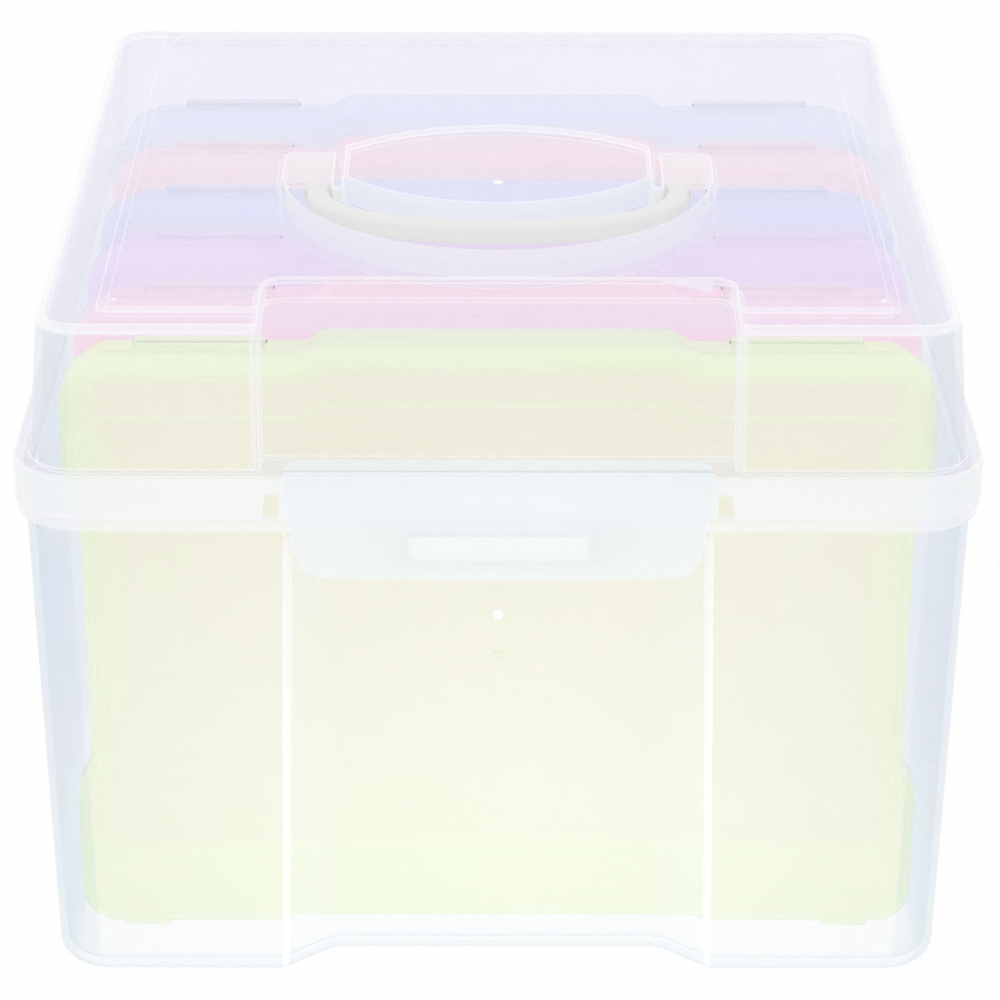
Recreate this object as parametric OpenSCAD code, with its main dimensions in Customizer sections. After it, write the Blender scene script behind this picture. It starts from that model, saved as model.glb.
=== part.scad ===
// Photo keeper case: a clear carrying case that holds six photo cases on edge.
// Millimetres. The origin is on the ground, at the centre of the bin's underside.
// X runs to the right, Y to the back and Z up. The latch is at the front, at -Y.

/* [Photo cases] */
// Width of a photo case across its wide ends
case_w = 190; // [180:1:200]
// Height of a photo case from its underside to its shoulders
case_h = 138; // [130:1:146]
// How far the middle of a photo case rises above its shoulders
case_rise = 3; // [2:0.5:4]
// Half width of that raised middle at its top
rise_half_w = 38; // [30:1:50]
// Length of the slope at each end of the raised middle
rise_slope = 5; // [4:0.5:8]
// Thickness of a photo case from front to back
case_t = 31.4; // [26:0.2:36]
// Gap between one photo case and the next
case_gap = 0.5; // [0.4:0.1:1]
// Thickness of the cover, the front shell of a photo case
cover_t = 14; // [11:0.5:16]
// How far the tray reaches into the cover
nest = 3; // [2:0.5:4]
// Wall of a photo case
case_wall = 1.2; // [1:0.1:1.6]
// How far each side is drawn in at the waist
waist_in = 3.4; // [2:0.1:5]
// Height of the waist's lower end above the case's underside
waist_low = 34; // [25:1:45]
// Length of the waist's two slanted ends
waist_slant = 6; // [4:0.5:10]
// Height of the waist between its slanted ends
waist_h = 66; // [50:1:75]
// Radius of the waist's corners
waist_r = 4; // [2:0.5:6]
// Corner radius of a photo case
case_r = 8; // [6:0.5:12]
// Radius of the rounded edge round its front and its back
case_edge_r = 3; // [2:0.5:4]
// Inset of the tray's sides from the cover's outside
tray_in = 1.45; // [1.35:0.05:2]
// Inset of the tray's underside from the cover's
tray_low_in = 1.8; // [1.6:0.1:4]
// Inset of the tray's top from the cover's
tray_top_in = 4; // [3.5:0.5:8]
// Flat border between the rounded edge and the raised panel on the cover's front
panel_border = 1.2; // [1:0.1:3]
// Height of the panel's lower edge above the case's underside
panel_low = 19; // [12:1:30]
// Distance from the panel's upper edge to the case's shoulders
panel_high = 10; // [7:0.5:14]
// How far the panel stands out of the border
panel_step = 0.8; // [0.5:0.1:1]
// Height of the feet under a photo case
foot_h = 3.2; // [2:0.2:5]
// Length of a foot along the case at its lower end
foot_len = 10; // [8:1:14]
// Distance from the case's centre to the middle of a foot
foot_x = 80.5; // [70:0.5:82]
// Width of each snap tongue on top of a photo case
tongue_w = 29; // [20:1:32]
// Distance from the case's centre to the middle of a snap tongue
tongue_x = 65.5; // [62:0.5:68]
// Length of a snap tongue from front to back
tongue_len = 8; // [6:0.5:10]
// Width of each finger tab on top of the tray
tab_w = 7; // [5:0.5:8]
// Distance from the case's centre to the middle of a finger tab
tab_x = 45.5; // [42:0.5:46]

/* [Bin] */
// Wall of the bin and of the lid
wall = 1.6; // [1.4:0.1:2]
// Floor of the bin
floor_t = 2.4; // [2:0.1:3.2]
// Height of the bin to the top of its walls
bin_h = 125; // [118:1:131]
// Outward slope of the bin's walls, per millimetre of height
draft = 0.0195; // [0.012:0.0005:0.022]
// Space beside the photo cases at the bin's foot
side_room = 3.5; // [3:0.1:6]
// Space behind the last photo case
rear_room = 2.6; // [0.8:0.1:3]
// Space between the first photo case and the recess in the front wall
front_room = 0.4; // [0.3:0.1:2]
// Corner radius of the bin
bin_r = 12; // [8:0.5:16]
// Radius of the rounded edge round the bin's foot
bin_edge_r = 4.5; // [3:0.5:6]
// Depth of the front recess at the bin's foot
recess_d = 9.2; // [8:0.1:12]
// Half width of the front recess at its back
recess_back_w = 36.5; // [30:0.5:40]
// Half width of the recess's mouth at the foot
recess_foot_w = 47.8; // [46:0.1:50]
// Half width of the recess's mouth under the rim
recess_top_w = 45; // [43:0.5:46]
// Radius of the recess's two back corners
recess_back_r = 6; // [3:0.5:9]
// Radius of the two corners at the recess's mouth
recess_mouth_r = 2.6; // [2.2:0.1:3.5]
// Height of solid wall from the recess's top to the underside of the flange lip
recess_head = 2.4; // [2:0.1:5]
// How far the flange lip stands out of the wall
lip_out = 1.75; // [1.4:0.05:1.8]
// Thickness of the flange lip
lip_t = 3; // [2:0.2:4]

/* [Lid] */
// Space between a photo case and the underside of the handle pocket
head_room = 4.2; // [3.5:0.1:8]
// Thickness of the lid's top
top_t = 1.8; // [1.5:0.1:2.4]
// Width of the shelf round the lid's foot
shelf_w = 3.45; // [3:0.05:5]
// Thickness of that shelf
shelf_t = 1.7; // [1.4:0.1:2.2]
// Height of the skirt from its lower edge to the top of the shelf
skirt_h = 10.3; // [9:0.1:12]
// How far each side of the lid leans in from its foot to its top
lid_lean = 2.65; // [1:0.05:4]
// Corner radius of the lid's top
lid_top_r = 8.5; // [7:0.5:12]
// Radius of the rounded edge round the lid's top
lid_edge_r = 2.5; // [2:0.25:3]
// Corner radius of the skirt
skirt_r = 14; // [12:0.5:16]
// Border round the raised panel on the lid
plateau_side = 12.9; // [10:0.1:20]
// Distance from the raised panel to the lid's front and back edges
plateau_end = 8.1; // [6:0.1:14]
// Corner radius of the raised panel
plateau_r = 1.5; // [1:0.5:4]
// Height of the raised panel
plateau_h = 1.2; // [0.8:0.1:1.6]
// Half width of the notch and recess in the lid's front
notch_half_w = 50.8; // [48.5:0.1:53]
// Length of the notch in the lid's top, from the front edge
notch_len = 25; // [20:0.5:30]
// Depth of the notch below the lid's top
notch_d = 3.6; // [3:0.1:5]
// How far the front recess is set back from the lid's wall at the top
set_back = 6.3; // [5:0.1:7]
// Forward slope of the recess's wall, per millimetre of height
recess_slope = 0.067; // [0.03:0.001:0.08]
// Radius of the rounded front edge of the notch
notch_edge_r = 6.5; // [4:0.5:8]
// Corner radius of the notch
notch_r = 4.5; // [2:0.5:7]

/* [Handle] */
// Radius of the handle pocket's front
pocket_r = 49.5; // [48.5:0.5:52]
// Distance from the lid's centre to the centre of that radius
pocket_back = 9.6; // [7:0.2:12]
// Distance from the lid's centre to the pocket's back edge
ear_back = 3; // [1:0.5:6]
// Radius of the pocket's two back corners
ear_corner_r = 2; // [1:0.5:4]
// Depth of the handle pocket below the raised panel
pocket_d = 7.2; // [7:0.1:9]
// Radius of the island's front edge
island_r = 45; // [42:0.5:50]
// Distance from the lid's centre to the island's front edge
island_front = 26.9; // [24:0.1:29]
// Radius of the back edge of the dish on the island
dish_r = 50; // [46:0.5:60]
// Distance from the lid's centre to the back edge of the dish
dish_back = 22.8; // [18:0.1:26]
// Depth of the dish below the raised panel
dish_d = 1.2; // [0.8:0.1:1.5]
// Half width across the outer faces of the two pivot bosses
boss_half_w = 38.6; // [37:0.1:40]
// Thickness of a pivot boss
boss_t = 3.2; // [3:0.1:4]
// How far a boss stands out in front of the pivot
boss_nose = 3.6; // [3.2:0.1:4]
// How far the boss's outer face leans in at its nose, to clear the bow
boss_lean = 0.6; // [0.5:0.1:1]
// Distance from the lid's centre forward to the handle's pivot
pivot_fwd = 17.2; // [15:0.1:18]
// Width of the handle's bow, seen from above
grip_w = 6.2; // [5:0.1:7]
// Thickness of the handle's bow
grip_t = 4.7; // [4:0.1:5]
// Length of the handle from its pivot to the middle of the bow
grip_reach = 24.6; // [22:0.1:28]
// Squareness of the bow's curve: 2 is an ellipse, more is squarer
bow_power = 2.35; // [2:0.05:2.8]
// Width of the handle's two ends
grip_end_w = 5.4; // [4.5:0.1:6]
// Radius of the handle's round ends
grip_end_r = 2.7; // [2.2:0.1:2.9]
// Radius of the handle's pivot pins
handle_pin_r = 1.5; // [1.2:0.1:1.6]
// Depth of the bow below the raised panel
grip_sunk = 0.3; // [0.2:0.1:0.8]
// Distance from the middle of the bow's thickness down to the pivot
pivot_drop = 0.2; // [0:0.1:0.4]

/* [Latch] */
// Half width of the latch at its top
latch_half_w = 45.8; // [42:0.1:46]
// Half width of the latch at its lower corners
latch_low_w = 42.6; // [38:0.1:43]
// Height of the latch from the shelf to its lower edge
latch_h = 23; // [21:0.5:27]
// How far the middle of the lower edge hangs below its ends
latch_bow = 0.6; // [0.2:0.1:1.5]
// Thickness of the latch
latch_t = 1.5; // [1.2:0.1:1.8]
// Length of the latch's straight upper sides
latch_cheek = 4.8; // [4:0.1:6]
// Radius of the latch's lower corners
latch_r = 6; // [3:0.5:8]
// Depth of the plate from front to back
plate_d = 6.2; // [5:0.1:8]
// Half width of the catch bar
catch_half_w = 19.3; // [12:0.1:30]
// Height of the catch bar
catch_h = 6; // [3:0.5:7]
// Depth of the catch bar
catch_d = 1.3; // [0.9:0.1:1.4]
// Width of the slot in the skirt beside the latch
slot_w = 3.9; // [2:0.1:5]
// How far the slot's outer side leans in
slot_lean = 1.1; // [0:0.1:1.5]
// Height of the skirt left above the slot
slot_head = 4.3; // [3:0.1:6]

/* [Lid hinge] */
// Distance from the bin's centre plane to the middle of each hinge
hinge_x = 62; // [40:1:75]
// Length of the lid's knuckle between two ears
knuckle_len = 14; // [10:1:24]
// Thickness of each hinge ear
ear_t = 3; // [2.4:0.2:4]
// Radius of the hinge ears
ear_r = 2.8; // [2.6:0.1:3]
// Radius of the lid's knuckle
knuckle_r = 2.6; // [2.4:0.1:2.9]
// Radius of the lid's hinge pins
hinge_pin_r = 1.3; // [1.1:0.1:1.5]
// Height of the hinge pins above the flange lip
hinge_up = 1.6; // [1.4:0.1:2]

/* [Clearances] */
// Gap between the skirt and the bin's wall
skirt_gap = 0.35; // [0.3:0.05:0.6]
// Gap between resting or passing surfaces of different pieces
rest_gap = 0.3; // [0.3:0.05:0.5]
// Running clearance of a pin in its bore, on the radius
pin_gap = 0.05; // [0.03:0.01:0.08]
// Gap at the end of a knuckle or beside a handle's end
end_gap = 0.3; // [0.3:0.05:0.6]

/* [Hidden] */
TINTS = ["#d8f3a2", "#f9b7d3", "#d3a9ee", "#9fb6f7", "#fba79f", "#a5d9f5"];
COUNT = len(TINTS);
$fn = 64;
SMALL = 2; // steps of an arc on a small corner
LARGE = 6; // steps of an arc on a large corner
eps = 0.01;
clear_cut = 20; // how far a cutting shape runs past what it cuts

// Bin
stack_d = COUNT * (case_t + case_gap) - case_gap;
bin_w = case_w + 2 * side_room + 2 * wall;
bin_d = recess_d + wall + front_room + stack_d + rear_room + wall;
stack_front = bin_d / 2 - wall - rear_room - stack_d;
function case_front(i) = stack_front + i * (case_t + case_gap);
recess_back = bin_d / 2 - recess_d;
function bin_half_w(z) = bin_w / 2 + draft * z;
function bin_half_d(z) = bin_d / 2 + draft * z;

// Rim, from the top of the bin's wall
shelf_under = bin_h + rest_gap;
shelf_z = shelf_under + shelf_t;
skirt_low = shelf_z - skirt_h;
lip_top = skirt_low - rest_gap;
lip_low = lip_top - lip_t;
recess_top = lip_low - recess_head;
skirt_out_w = bin_half_w(bin_h) + skirt_gap + wall;
skirt_out_d = bin_half_d(bin_h) + skirt_gap + wall;

// Lid, from the top of the photo cases
case_z = floor_t + rest_gap + foot_h;
case_top = case_z + case_h + case_rise;
pocket_floor = case_top + head_room + top_t;
plateau_z = pocket_floor + pocket_d;
lid_z = plateau_z - plateau_h;
lid_foot_w = skirt_out_w - shelf_w;
lid_foot_d = skirt_out_d - shelf_w;
lid_top_w = lid_foot_w - lid_lean;
lid_top_d = lid_foot_d - lid_lean;
notch_z = lid_z - notch_d;
recess_wall_y = -lid_top_d + set_back;

// Handle
grip_z = plateau_z - grip_sunk - grip_t / 2;
pivot_z = grip_z - pivot_drop;
pivot_y = -pivot_fwd;
grip_in_x = boss_half_w + end_gap;
grip_mid_x = grip_in_x + grip_end_w / 2;

// Latch
flap_back = -skirt_out_d - rest_gap;
latch_axis_y = flap_back - latch_t / 2;
latch_axis_z = shelf_z + latch_t / 2;
latch_low_z = shelf_z - latch_h;
catch_tip = flap_back + catch_d;

// Lid hinge
hinge_y = skirt_out_d + ear_r + rest_gap;
hinge_z = lip_top + hinge_up;

// Unit vector along v
function unit(v) = v / norm(v);
// The vector v turned by the angle a
function turn(v, a) = [v.x * cos(a) - v.y * sin(a), v.x * sin(a) + v.y * cos(a)];
// Points of the arc of radius r that rounds the corner p between a and b
function corner_arc(a, p, b, r, steps) =
    let (u = unit(a - p), v = unit(b - p), half = acos(max(-1, min(1, u * v))) / 2)
    half > 89.9
    ? [for (i = [0:steps]) p + v * (i / steps - 0.5)]
    : let (centre = p + unit(u + v) * r / sin(half),
           start = p + u * r / tan(half) - centre,
           sweep = (180 - 2 * half) * (u.x * v.y - u.y * v.x > 0 ? -1 : 1))
      [for (i = [0:steps]) centre + turn(start, sweep * i / steps)];
// An outline with its corners rounded. Each corner is [x, y, radius, steps]
function rounded(corners) =
    let (n = len(corners))
    [for (i = [0:n - 1])
        let (a = corners[(i + n - 1) % n], p = corners[i], b = corners[(i + 1) % n])
        each corner_arc([a.x, a.y], [p.x, p.y], [b.x, b.y], max(0.3, p[2]), p[3])];
// Corners of one side, followed by their mirror images across the Y axis
function mirrored(side) =
    concat(side, [for (i = [len(side) - 1:-1:0]) [-side[i].x, side[i].y, side[i][2], side[i][3]]]);
// An outline lifted to the height z
function lifted(outline, z) = [for (p = outline) [p.x, p.y, z]];

// The middle of a ring's bounding box
function middle(ring) =
    [for (k = [0:2]) let (v = [for (p = ring) p[k]]) (min(v) + max(v)) / 2];

// A closed skin through a list of rings that have the same number of points, with flat ends
module loft(rings) {
    n = len(rings[0]);
    last = len(rings) - 1;
    foot_mid = n * (last + 1);
    head_mid = foot_mid + 1;
    polyhedron(
        points = concat([for (ring = rings) each ring], [middle(rings[0]), middle(rings[last])]),
        faces = [for (j = [0:n - 1])
            let (k = (j + 1) % n)
            each concat(
                [[j, k, foot_mid], [last * n + k, last * n + j, head_mid]],
                [for (i = [0:last - 1])
                    let (low = i * n, high = low + n)
                    each [[low + j, high + j, high + k], [low + j, high + k, low + k]]])]);
}

// A rectangle of half sizes w and d with corners of radius r
function box_outline(w, d, r) =
    rounded([[w, -d, r, LARGE], [w, d, r, LARGE], [-w, d, r, LARGE], [-w, -d, r, LARGE]]);

// Extrudes a side view, given in Y and Z, from x0 to x1
module across(x0, x1) {
    translate([x0, 0, 0]) rotate([90, 0, 90]) linear_extrude(x1 - x0) children();
}
// Stands a shape that was drawn in X and Z at the depth y, so that its height runs forwards
module stand(y) {
    translate([0, y, 0]) rotate([90, 0, 0]) children();
}

// Bin outline at height z, moved inwards by g. open is true where the front recess is cut
function bin_outline(z, g, open) =
    let (w = bin_half_w(z) - g,
         d = bin_half_d(z) - g,
         mouth = recess_foot_w + (recess_top_w - recess_foot_w) * z / recess_top,
         lean = atan((mouth - recess_back_w) / (bin_half_d(z) - recess_back)),
         shift = g * (1 / cos(lean) - tan(lean)),
         back = open ? recess_back - g : d)
    rounded(mirrored([
        [recess_back_w + shift, -back, recess_back_r + g, 3],
        [mouth + shift, -d, recess_mouth_r - g, 3],
        [w, -d, bin_r - g, LARGE],
        [w, d, bin_r - g, LARGE]]));
// Rings of the rounded foot edge of radius r, from height z0, for the outline at inset g
function foot_rings(z0, r, g) =
    [for (a = [0, 30, 60, 90])
        let (z = z0 + r * (1 - cos(a)))
        lifted(bin_outline(z, g + r * (1 - sin(a)), true), z)];

module bin_shell() {
    ledge = wall / 2;
    inner_foot = foot_rings(floor_t, bin_edge_r - wall, wall);
    loft(concat(
        foot_rings(0, bin_edge_r, 0),
        [lifted(bin_outline(recess_top, 0, true), recess_top),
         lifted(bin_outline(recess_top + ledge, 0, false), recess_top + ledge),
         lifted(bin_outline(lip_low, 0, false), lip_low),
         lifted(bin_outline(lip_low + lip_t / 3, -lip_out, false), lip_low + lip_t / 3),
         lifted(bin_outline(lip_top, -lip_out, false), lip_top),
         lifted(bin_outline(lip_top, 0, false), lip_top),
         lifted(bin_outline(bin_h, 0, false), bin_h),
         lifted(bin_outline(bin_h, wall, false), bin_h),
         lifted(bin_outline(recess_top + wall + ledge, wall, false), recess_top + wall + ledge),
         lifted(bin_outline(recess_top + wall, wall, true), recess_top + wall)],
        [for (i = [len(inner_foot) - 1:-1:0]) inner_foot[i]]));
}

// Side view of a hinge ear, with its neck on the flange lip
module ear_profile() {
    root_y = bin_half_d(lip_low) - wall / 2;
    polygon([[root_y, lip_low],
             [bin_half_d(lip_low) + lip_out, lip_low],
             [hinge_y + ear_r * cos(60), hinge_z - ear_r * sin(60)],
             [hinge_y, hinge_z],
             [hinge_y - ear_r * cos(40), lip_top],
             [root_y, lip_top]]);
    translate([hinge_y, hinge_z]) circle(ear_r);
}

module hinge_ear(mid) {
    difference() {
        across(mid - ear_t / 2, mid + ear_t / 2) ear_profile();
        across(mid - ear_t, mid + ear_t) translate([hinge_y, hinge_z]) circle(hinge_pin_r + pin_gap);
    }
}

module base_bin() color("#eef4f8", 0.35) {
    seat_y = catch_tip + rest_gap;
    difference() {
        bin_shell();
        // Seat of the catch bar, cut into the front of the flange lip
        translate([-catch_half_w - 1, seat_y - clear_cut, lip_low - eps])
            cube([2 * catch_half_w + 2, clear_cut, lip_t + 2 * eps]);
    }
    for (side = [-1, 1], end = [-1, 1])
        hinge_ear(side * hinge_x + end * (knuckle_len / 2 + end_gap + ear_t / 2));
}

// Plan of the raised panel on the lid, grown by g
module plateau_plan(g) {
    w = lid_top_w - plateau_side + g;
    d = lid_top_d - plateau_end + g;
    polygon(rounded([[w, -d, plateau_r, 3], [w, d, plateau_r, 3],
                     [-w, d, plateau_r, 3], [-w, -d, plateau_r, 3]]));
}

// The outside of the lid as one solid
module lid_outside() {
    bevel = shelf_t / 2;
    loft(concat(
        [lifted(box_outline(skirt_out_w, skirt_out_d, skirt_r), skirt_low),
         lifted(box_outline(skirt_out_w, skirt_out_d, skirt_r), shelf_z - bevel),
         lifted(box_outline(skirt_out_w - bevel, skirt_out_d - bevel, skirt_r - bevel), shelf_z),
         lifted(box_outline(lid_foot_w, lid_foot_d, skirt_r - shelf_w), shelf_z)],
        [for (a = [90, 60, 30, 0])
            let (g = lid_edge_r * (1 - sin(a)))
            lifted(box_outline(lid_top_w - g, lid_top_d - g, lid_top_r - g),
                   lid_z - lid_edge_r * (1 - cos(a)))]));
    translate([0, 0, lid_z - eps]) linear_extrude(plateau_h + eps) plateau_plan(0);
}

// The space inside the lid, before the recess and the pocket take their share of it
module lid_inside() {
    r = lid_edge_r - wall + 0.2;
    skirt_in = box_outline(skirt_out_w - wall, skirt_out_d - wall, skirt_r - wall);
    foot = box_outline(lid_foot_w - wall, lid_foot_d - wall, skirt_r - shelf_w - wall);
    function head(g) = box_outline(lid_top_w - g, lid_top_d - g, lid_top_r - g);
    loft([lifted(skirt_in, skirt_low - 1),
          lifted(skirt_in, shelf_under),
          lifted(foot, shelf_under),
          lifted(head(wall), lid_z - top_t - r),
          lifted(head(wall + r), lid_z - top_t)]);
    translate([0, 0, lid_z - top_t - eps]) linear_extrude(plateau_h + eps) plateau_plan(-wall);
}

// The notch and recess in the lid's front, grown by g, with its floor at height z0
module lid_recess(g, z0) {
    front = skirt_out_d + clear_cut;
    top = plateau_z + clear_cut;
    wall_y = recess_wall_y + g;
    foot_y = wall_y - recess_slope * (notch_z - shelf_z);
    back_y = notch_len - lid_top_d + g;
    ledge_z = notch_z - g;
    half_w = notch_half_w + g;
    intersection() {
        across(-half_w, half_w)
            polygon(concat(
                [[-front, z0], [foot_y, z0]],
                corner_arc([foot_y, z0], [wall_y, ledge_z], [back_y, ledge_z], notch_edge_r - g, LARGE),
                [[back_y, ledge_z], [back_y, top], [-front, top]]));
        linear_extrude(top + 1)
            polygon(rounded([[half_w, -front, 1, 1], [half_w, back_y, notch_r + g, 4],
                             [-half_w, back_y, notch_r + g, 4], [-half_w, -front, 1, 1]]));
    }
}

// Plan of the handle pocket without its island, grown by g
module pocket_outer(g) {
    w = pocket_r + g;
    back = ear_back + g;
    difference() {
        union() {
            translate([0, -pocket_back]) circle(w, $fn = 96);
            polygon(rounded([[w, -pocket_back, 0.5, 1], [w, back, ear_corner_r + g, 4],
                             [-w, back, ear_corner_r + g, 4], [-w, -pocket_back, 0.5, 1]]));
        }
        translate([-w, back]) square([2 * w, w]);
    }
}
// Plan of the island in the pocket, grown by g
module island_plan(g) {
    half_w = boss_half_w + g;
    intersection() {
        translate([0, island_r - island_front]) circle(island_r + g, $fn = 96);
        translate([-half_w, -island_r]) square([2 * half_w, 2 * island_r]);
    }
}
// Plan of the two pivot bosses at the ends of the island
module boss_plan() {
    low_y = pivot_y - boss_nose;
    inner_x = boss_half_w - boss_t;
    for (side = [-1, 1])
        polygon([[side * inner_x, low_y], [side * (boss_half_w - boss_lean), low_y],
                 [side * boss_half_w, pivot_y], [side * boss_half_w, ear_back],
                 [side * inner_x, ear_back]]);
}
// Plan of the dish on the island, grown by g
module dish_plan(g) {
    half_w = boss_half_w - boss_t + g;
    intersection() {
        translate([0, dish_back - dish_r]) circle(dish_r + g, $fn = 96);
        translate([0, island_r - island_front]) circle(island_r + g, $fn = 96);
        translate([-half_w, -island_r]) square([2 * half_w, 2 * island_r]);
    }
}

// The solid that forms the pocket's floor and walls and the dish's floor
module pocket_walls() {
    low_z = pocket_floor - top_t;
    dish_z = plateau_z - dish_d - top_t;
    translate([0, 0, low_z]) linear_extrude(plateau_z - low_z) {
        difference() {
            pocket_outer(wall);
            island_plan(-wall);
        }
        boss_plan();
    }
    translate([0, 0, dish_z]) linear_extrude(dish_d + top_t) dish_plan(wall);
}

// The pocket, the dish and the bores for the handle's pins
module pocket_cuts() {
    translate([0, 0, pocket_floor]) linear_extrude(clear_cut) difference() {
        pocket_outer(0);
        island_plan(0);
        boss_plan();
    }
    translate([0, 0, plateau_z - dish_d]) linear_extrude(clear_cut) dish_plan(0);
    for (side = [-1, 1])
        across(side * (boss_half_w - boss_t / 2) - boss_t, side * (boss_half_w - boss_t / 2) + boss_t)
            translate([pivot_y, pivot_z]) circle(handle_pin_r + pin_gap);
}

// Slot through the front of the skirt, on one side of the latch
module skirt_slot(side) {
    inner = side * (notch_half_w - slot_w);
    outer = side * notch_half_w;
    stand(-skirt_out_d + 2 * wall) linear_extrude(3 * wall)
        polygon([[inner, skirt_low - 1], [outer, skirt_low - 1],
                 [outer - side * slot_lean, shelf_z - slot_head], [inner, shelf_z - slot_head]]);
}

// Lid knuckle and its two pins, with the arm that joins it to the skirt
module lid_hinge(side) {
    mid = side * hinge_x;
    pin_half = knuckle_len / 2 + end_gap + ear_t;
    root_y = skirt_out_d - wall / 2;
    arm_low = hinge_z + knuckle_r / 5;
    arm_top = hinge_z + 2.4 * knuckle_r;
    across(mid - knuckle_len / 2, mid + knuckle_len / 2) {
        translate([hinge_y, hinge_z]) circle(knuckle_r);
        polygon([[hinge_y, hinge_z], [hinge_y, hinge_z + knuckle_r],
                 [root_y, arm_top], [root_y, arm_low]]);
    }
    across(mid - pin_half, mid + pin_half) translate([hinge_y, hinge_z]) circle(hinge_pin_r);
}

module lid() color("#f2f6fa", 0.35) {
    difference() {
        lid_outside();
        difference() {
            lid_inside();
            lid_recess(wall, shelf_under);
            pocket_walls();
        }
        lid_recess(0, shelf_z);
        pocket_cuts();
        for (side = [-1, 1]) skirt_slot(side);
    }
    for (side = [-1, 1]) lid_hinge(side);
}

module latch_plate() color("#f4f5fb", 0.8) {
    back_r = plate_d - 1;
    difference() {
        translate([0, 0, shelf_z]) linear_extrude(latch_t)
            polygon(rounded([[latch_half_w, latch_axis_y, 0.5, 1],
                             [latch_half_w, flap_back + plate_d, back_r, LARGE],
                             [-latch_half_w, flap_back + plate_d, back_r, LARGE],
                             [-latch_half_w, latch_axis_y, 0.5, 1]]));
        across(-latch_half_w - 1, latch_half_w + 1) {
            translate([latch_axis_y, latch_axis_z]) circle(latch_t / 2 + pin_gap);
            translate([-skirt_out_d - clear_cut, latch_axis_z - clear_cut]) square(clear_cut);
        }
    }
}

// Height of the latch's lower edge at x, a shallow bow
function latch_edge_z(x) = latch_low_z - latch_bow * (1 - pow(x / latch_low_w, 2));

module front_latch() color("#f4f5fb", 0.8) {
    cheek_z = shelf_z - latch_cheek;
    stand(flap_back) linear_extrude(latch_t)
        polygon(rounded(concat(
            [for (k = [-3:3]) let (x = latch_low_w * k / 4) [x, latch_edge_z(x), latch_r, 1]],
            [[latch_low_w, latch_low_z, latch_r, LARGE], [latch_half_w, cheek_z, 2, 2],
             [latch_half_w, latch_axis_z, 0.3, 1], [-latch_half_w, latch_axis_z, 0.3, 1],
             [-latch_half_w, cheek_z, 2, 2], [-latch_low_w, latch_low_z, latch_r, LARGE]])));
    across(-latch_half_w, latch_half_w) translate([latch_axis_y, latch_axis_z]) circle(latch_t / 2);
    translate([-catch_half_w, flap_back - eps, lip_low - rest_gap - catch_h])
        cube([2 * catch_half_w, catch_d + eps, catch_h]);
}

// Centre line of the handle's bow: a superellipse from pin to pin, where t runs from 0 to 180
function bow_point(t) =
    [-grip_mid_x * sign(cos(t)) * pow(abs(cos(t)), 2 / bow_power),
     pivot_y - grip_reach * pow(sin(t), 2 / bow_power)];
function bow_way(t) =
    t <= 0 ? [0, -1] : t >= 180 ? [0, 1] : unit(bow_point(min(180, t + 1)) - bow_point(max(0, t - 1)));
// Cross-section of the bow, w wide and h thick, with well rounded corners
function bow_section(w, h) =
    [for (a = [0:30:330])
        [w / 2 * sign(cos(a)) * pow(abs(cos(a)), 0.6), h / 2 * sign(sin(a)) * pow(abs(sin(a)), 0.6)]];

module carry_handle() color("#dfe0da") {
    loft([for (t = [0:6:180])
        let (p = bow_point(t), way = bow_way(t), w = grip_end_w + (grip_w - grip_end_w) * sin(t))
        [for (q = bow_section(w, grip_t)) [p.x - way.y * q.x, p.y + way.x * q.x, grip_z + q.y]]]);
    for (side = [-1, 1]) {
        end_x = side * grip_mid_x;
        pin_x = side * (boss_half_w - boss_t / 2 + end_gap + eps);
        pin_half = boss_t / 2;
        across(end_x - grip_end_w / 2, end_x + grip_end_w / 2)
            translate([pivot_y, pivot_z]) circle(grip_end_r);
        across(pin_x - pin_half, pin_x + pin_half)
            translate([pivot_y, pivot_z]) circle(handle_pin_r);
    }
}

// Outline of a photo case in X and Z, moved inwards by side, low and top, and all round by g
function case_outline(side, low, top, g) =
    let (w = case_w / 2 - side - g,
         foot = case_z + low + g,
         shoulder = case_z + case_h - top - g,
         waist_z = case_z + waist_low,
         slide = g * 0.3)
    rounded(mirrored([
        [rise_half_w + 1.5 * rise_slope + slide, foot + case_rise / 2, 2, SMALL],
        [rise_half_w + 2 * rise_slope + slide, foot, 2, SMALL],
        [w, foot, case_r - g, LARGE],
        [w, waist_z, waist_r, SMALL],
        [w - waist_in, waist_z + waist_slant, waist_r, SMALL],
        [w - waist_in, waist_z + waist_slant + waist_h, waist_r, SMALL],
        [w, waist_z + 2 * waist_slant + waist_h, waist_r, SMALL],
        [w, shoulder, case_r - g, LARGE],
        [rise_half_w + rise_slope - slide, shoulder, 3, SMALL],
        [rise_half_w - slide, shoulder + case_rise, 3, SMALL]]));
function cover_ring(g, z) = lifted(case_outline(0, 0, 0, g), z);
function tray_ring(g, z) = lifted(case_outline(tray_in, tray_low_in, tray_top_in, g), z);
function panel_ring(g, z) =
    lifted(case_outline(case_edge_r + panel_border, panel_low, panel_high, g), z);

// A foot under a photo case at x, from the depth y0 to y1, reaching up to z1
module case_foot(x, y0, y1, z1) {
    low = case_z - foot_h;
    half = foot_len / 2;
    spread = half + foot_h / 2;
    stand(y1) linear_extrude(y1 - y0)
        polygon([[x - half, low], [x + half, low], [x + spread, case_z],
                 [x + spread, z1], [x - spread, z1], [x - spread, case_z]]);
}

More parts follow.
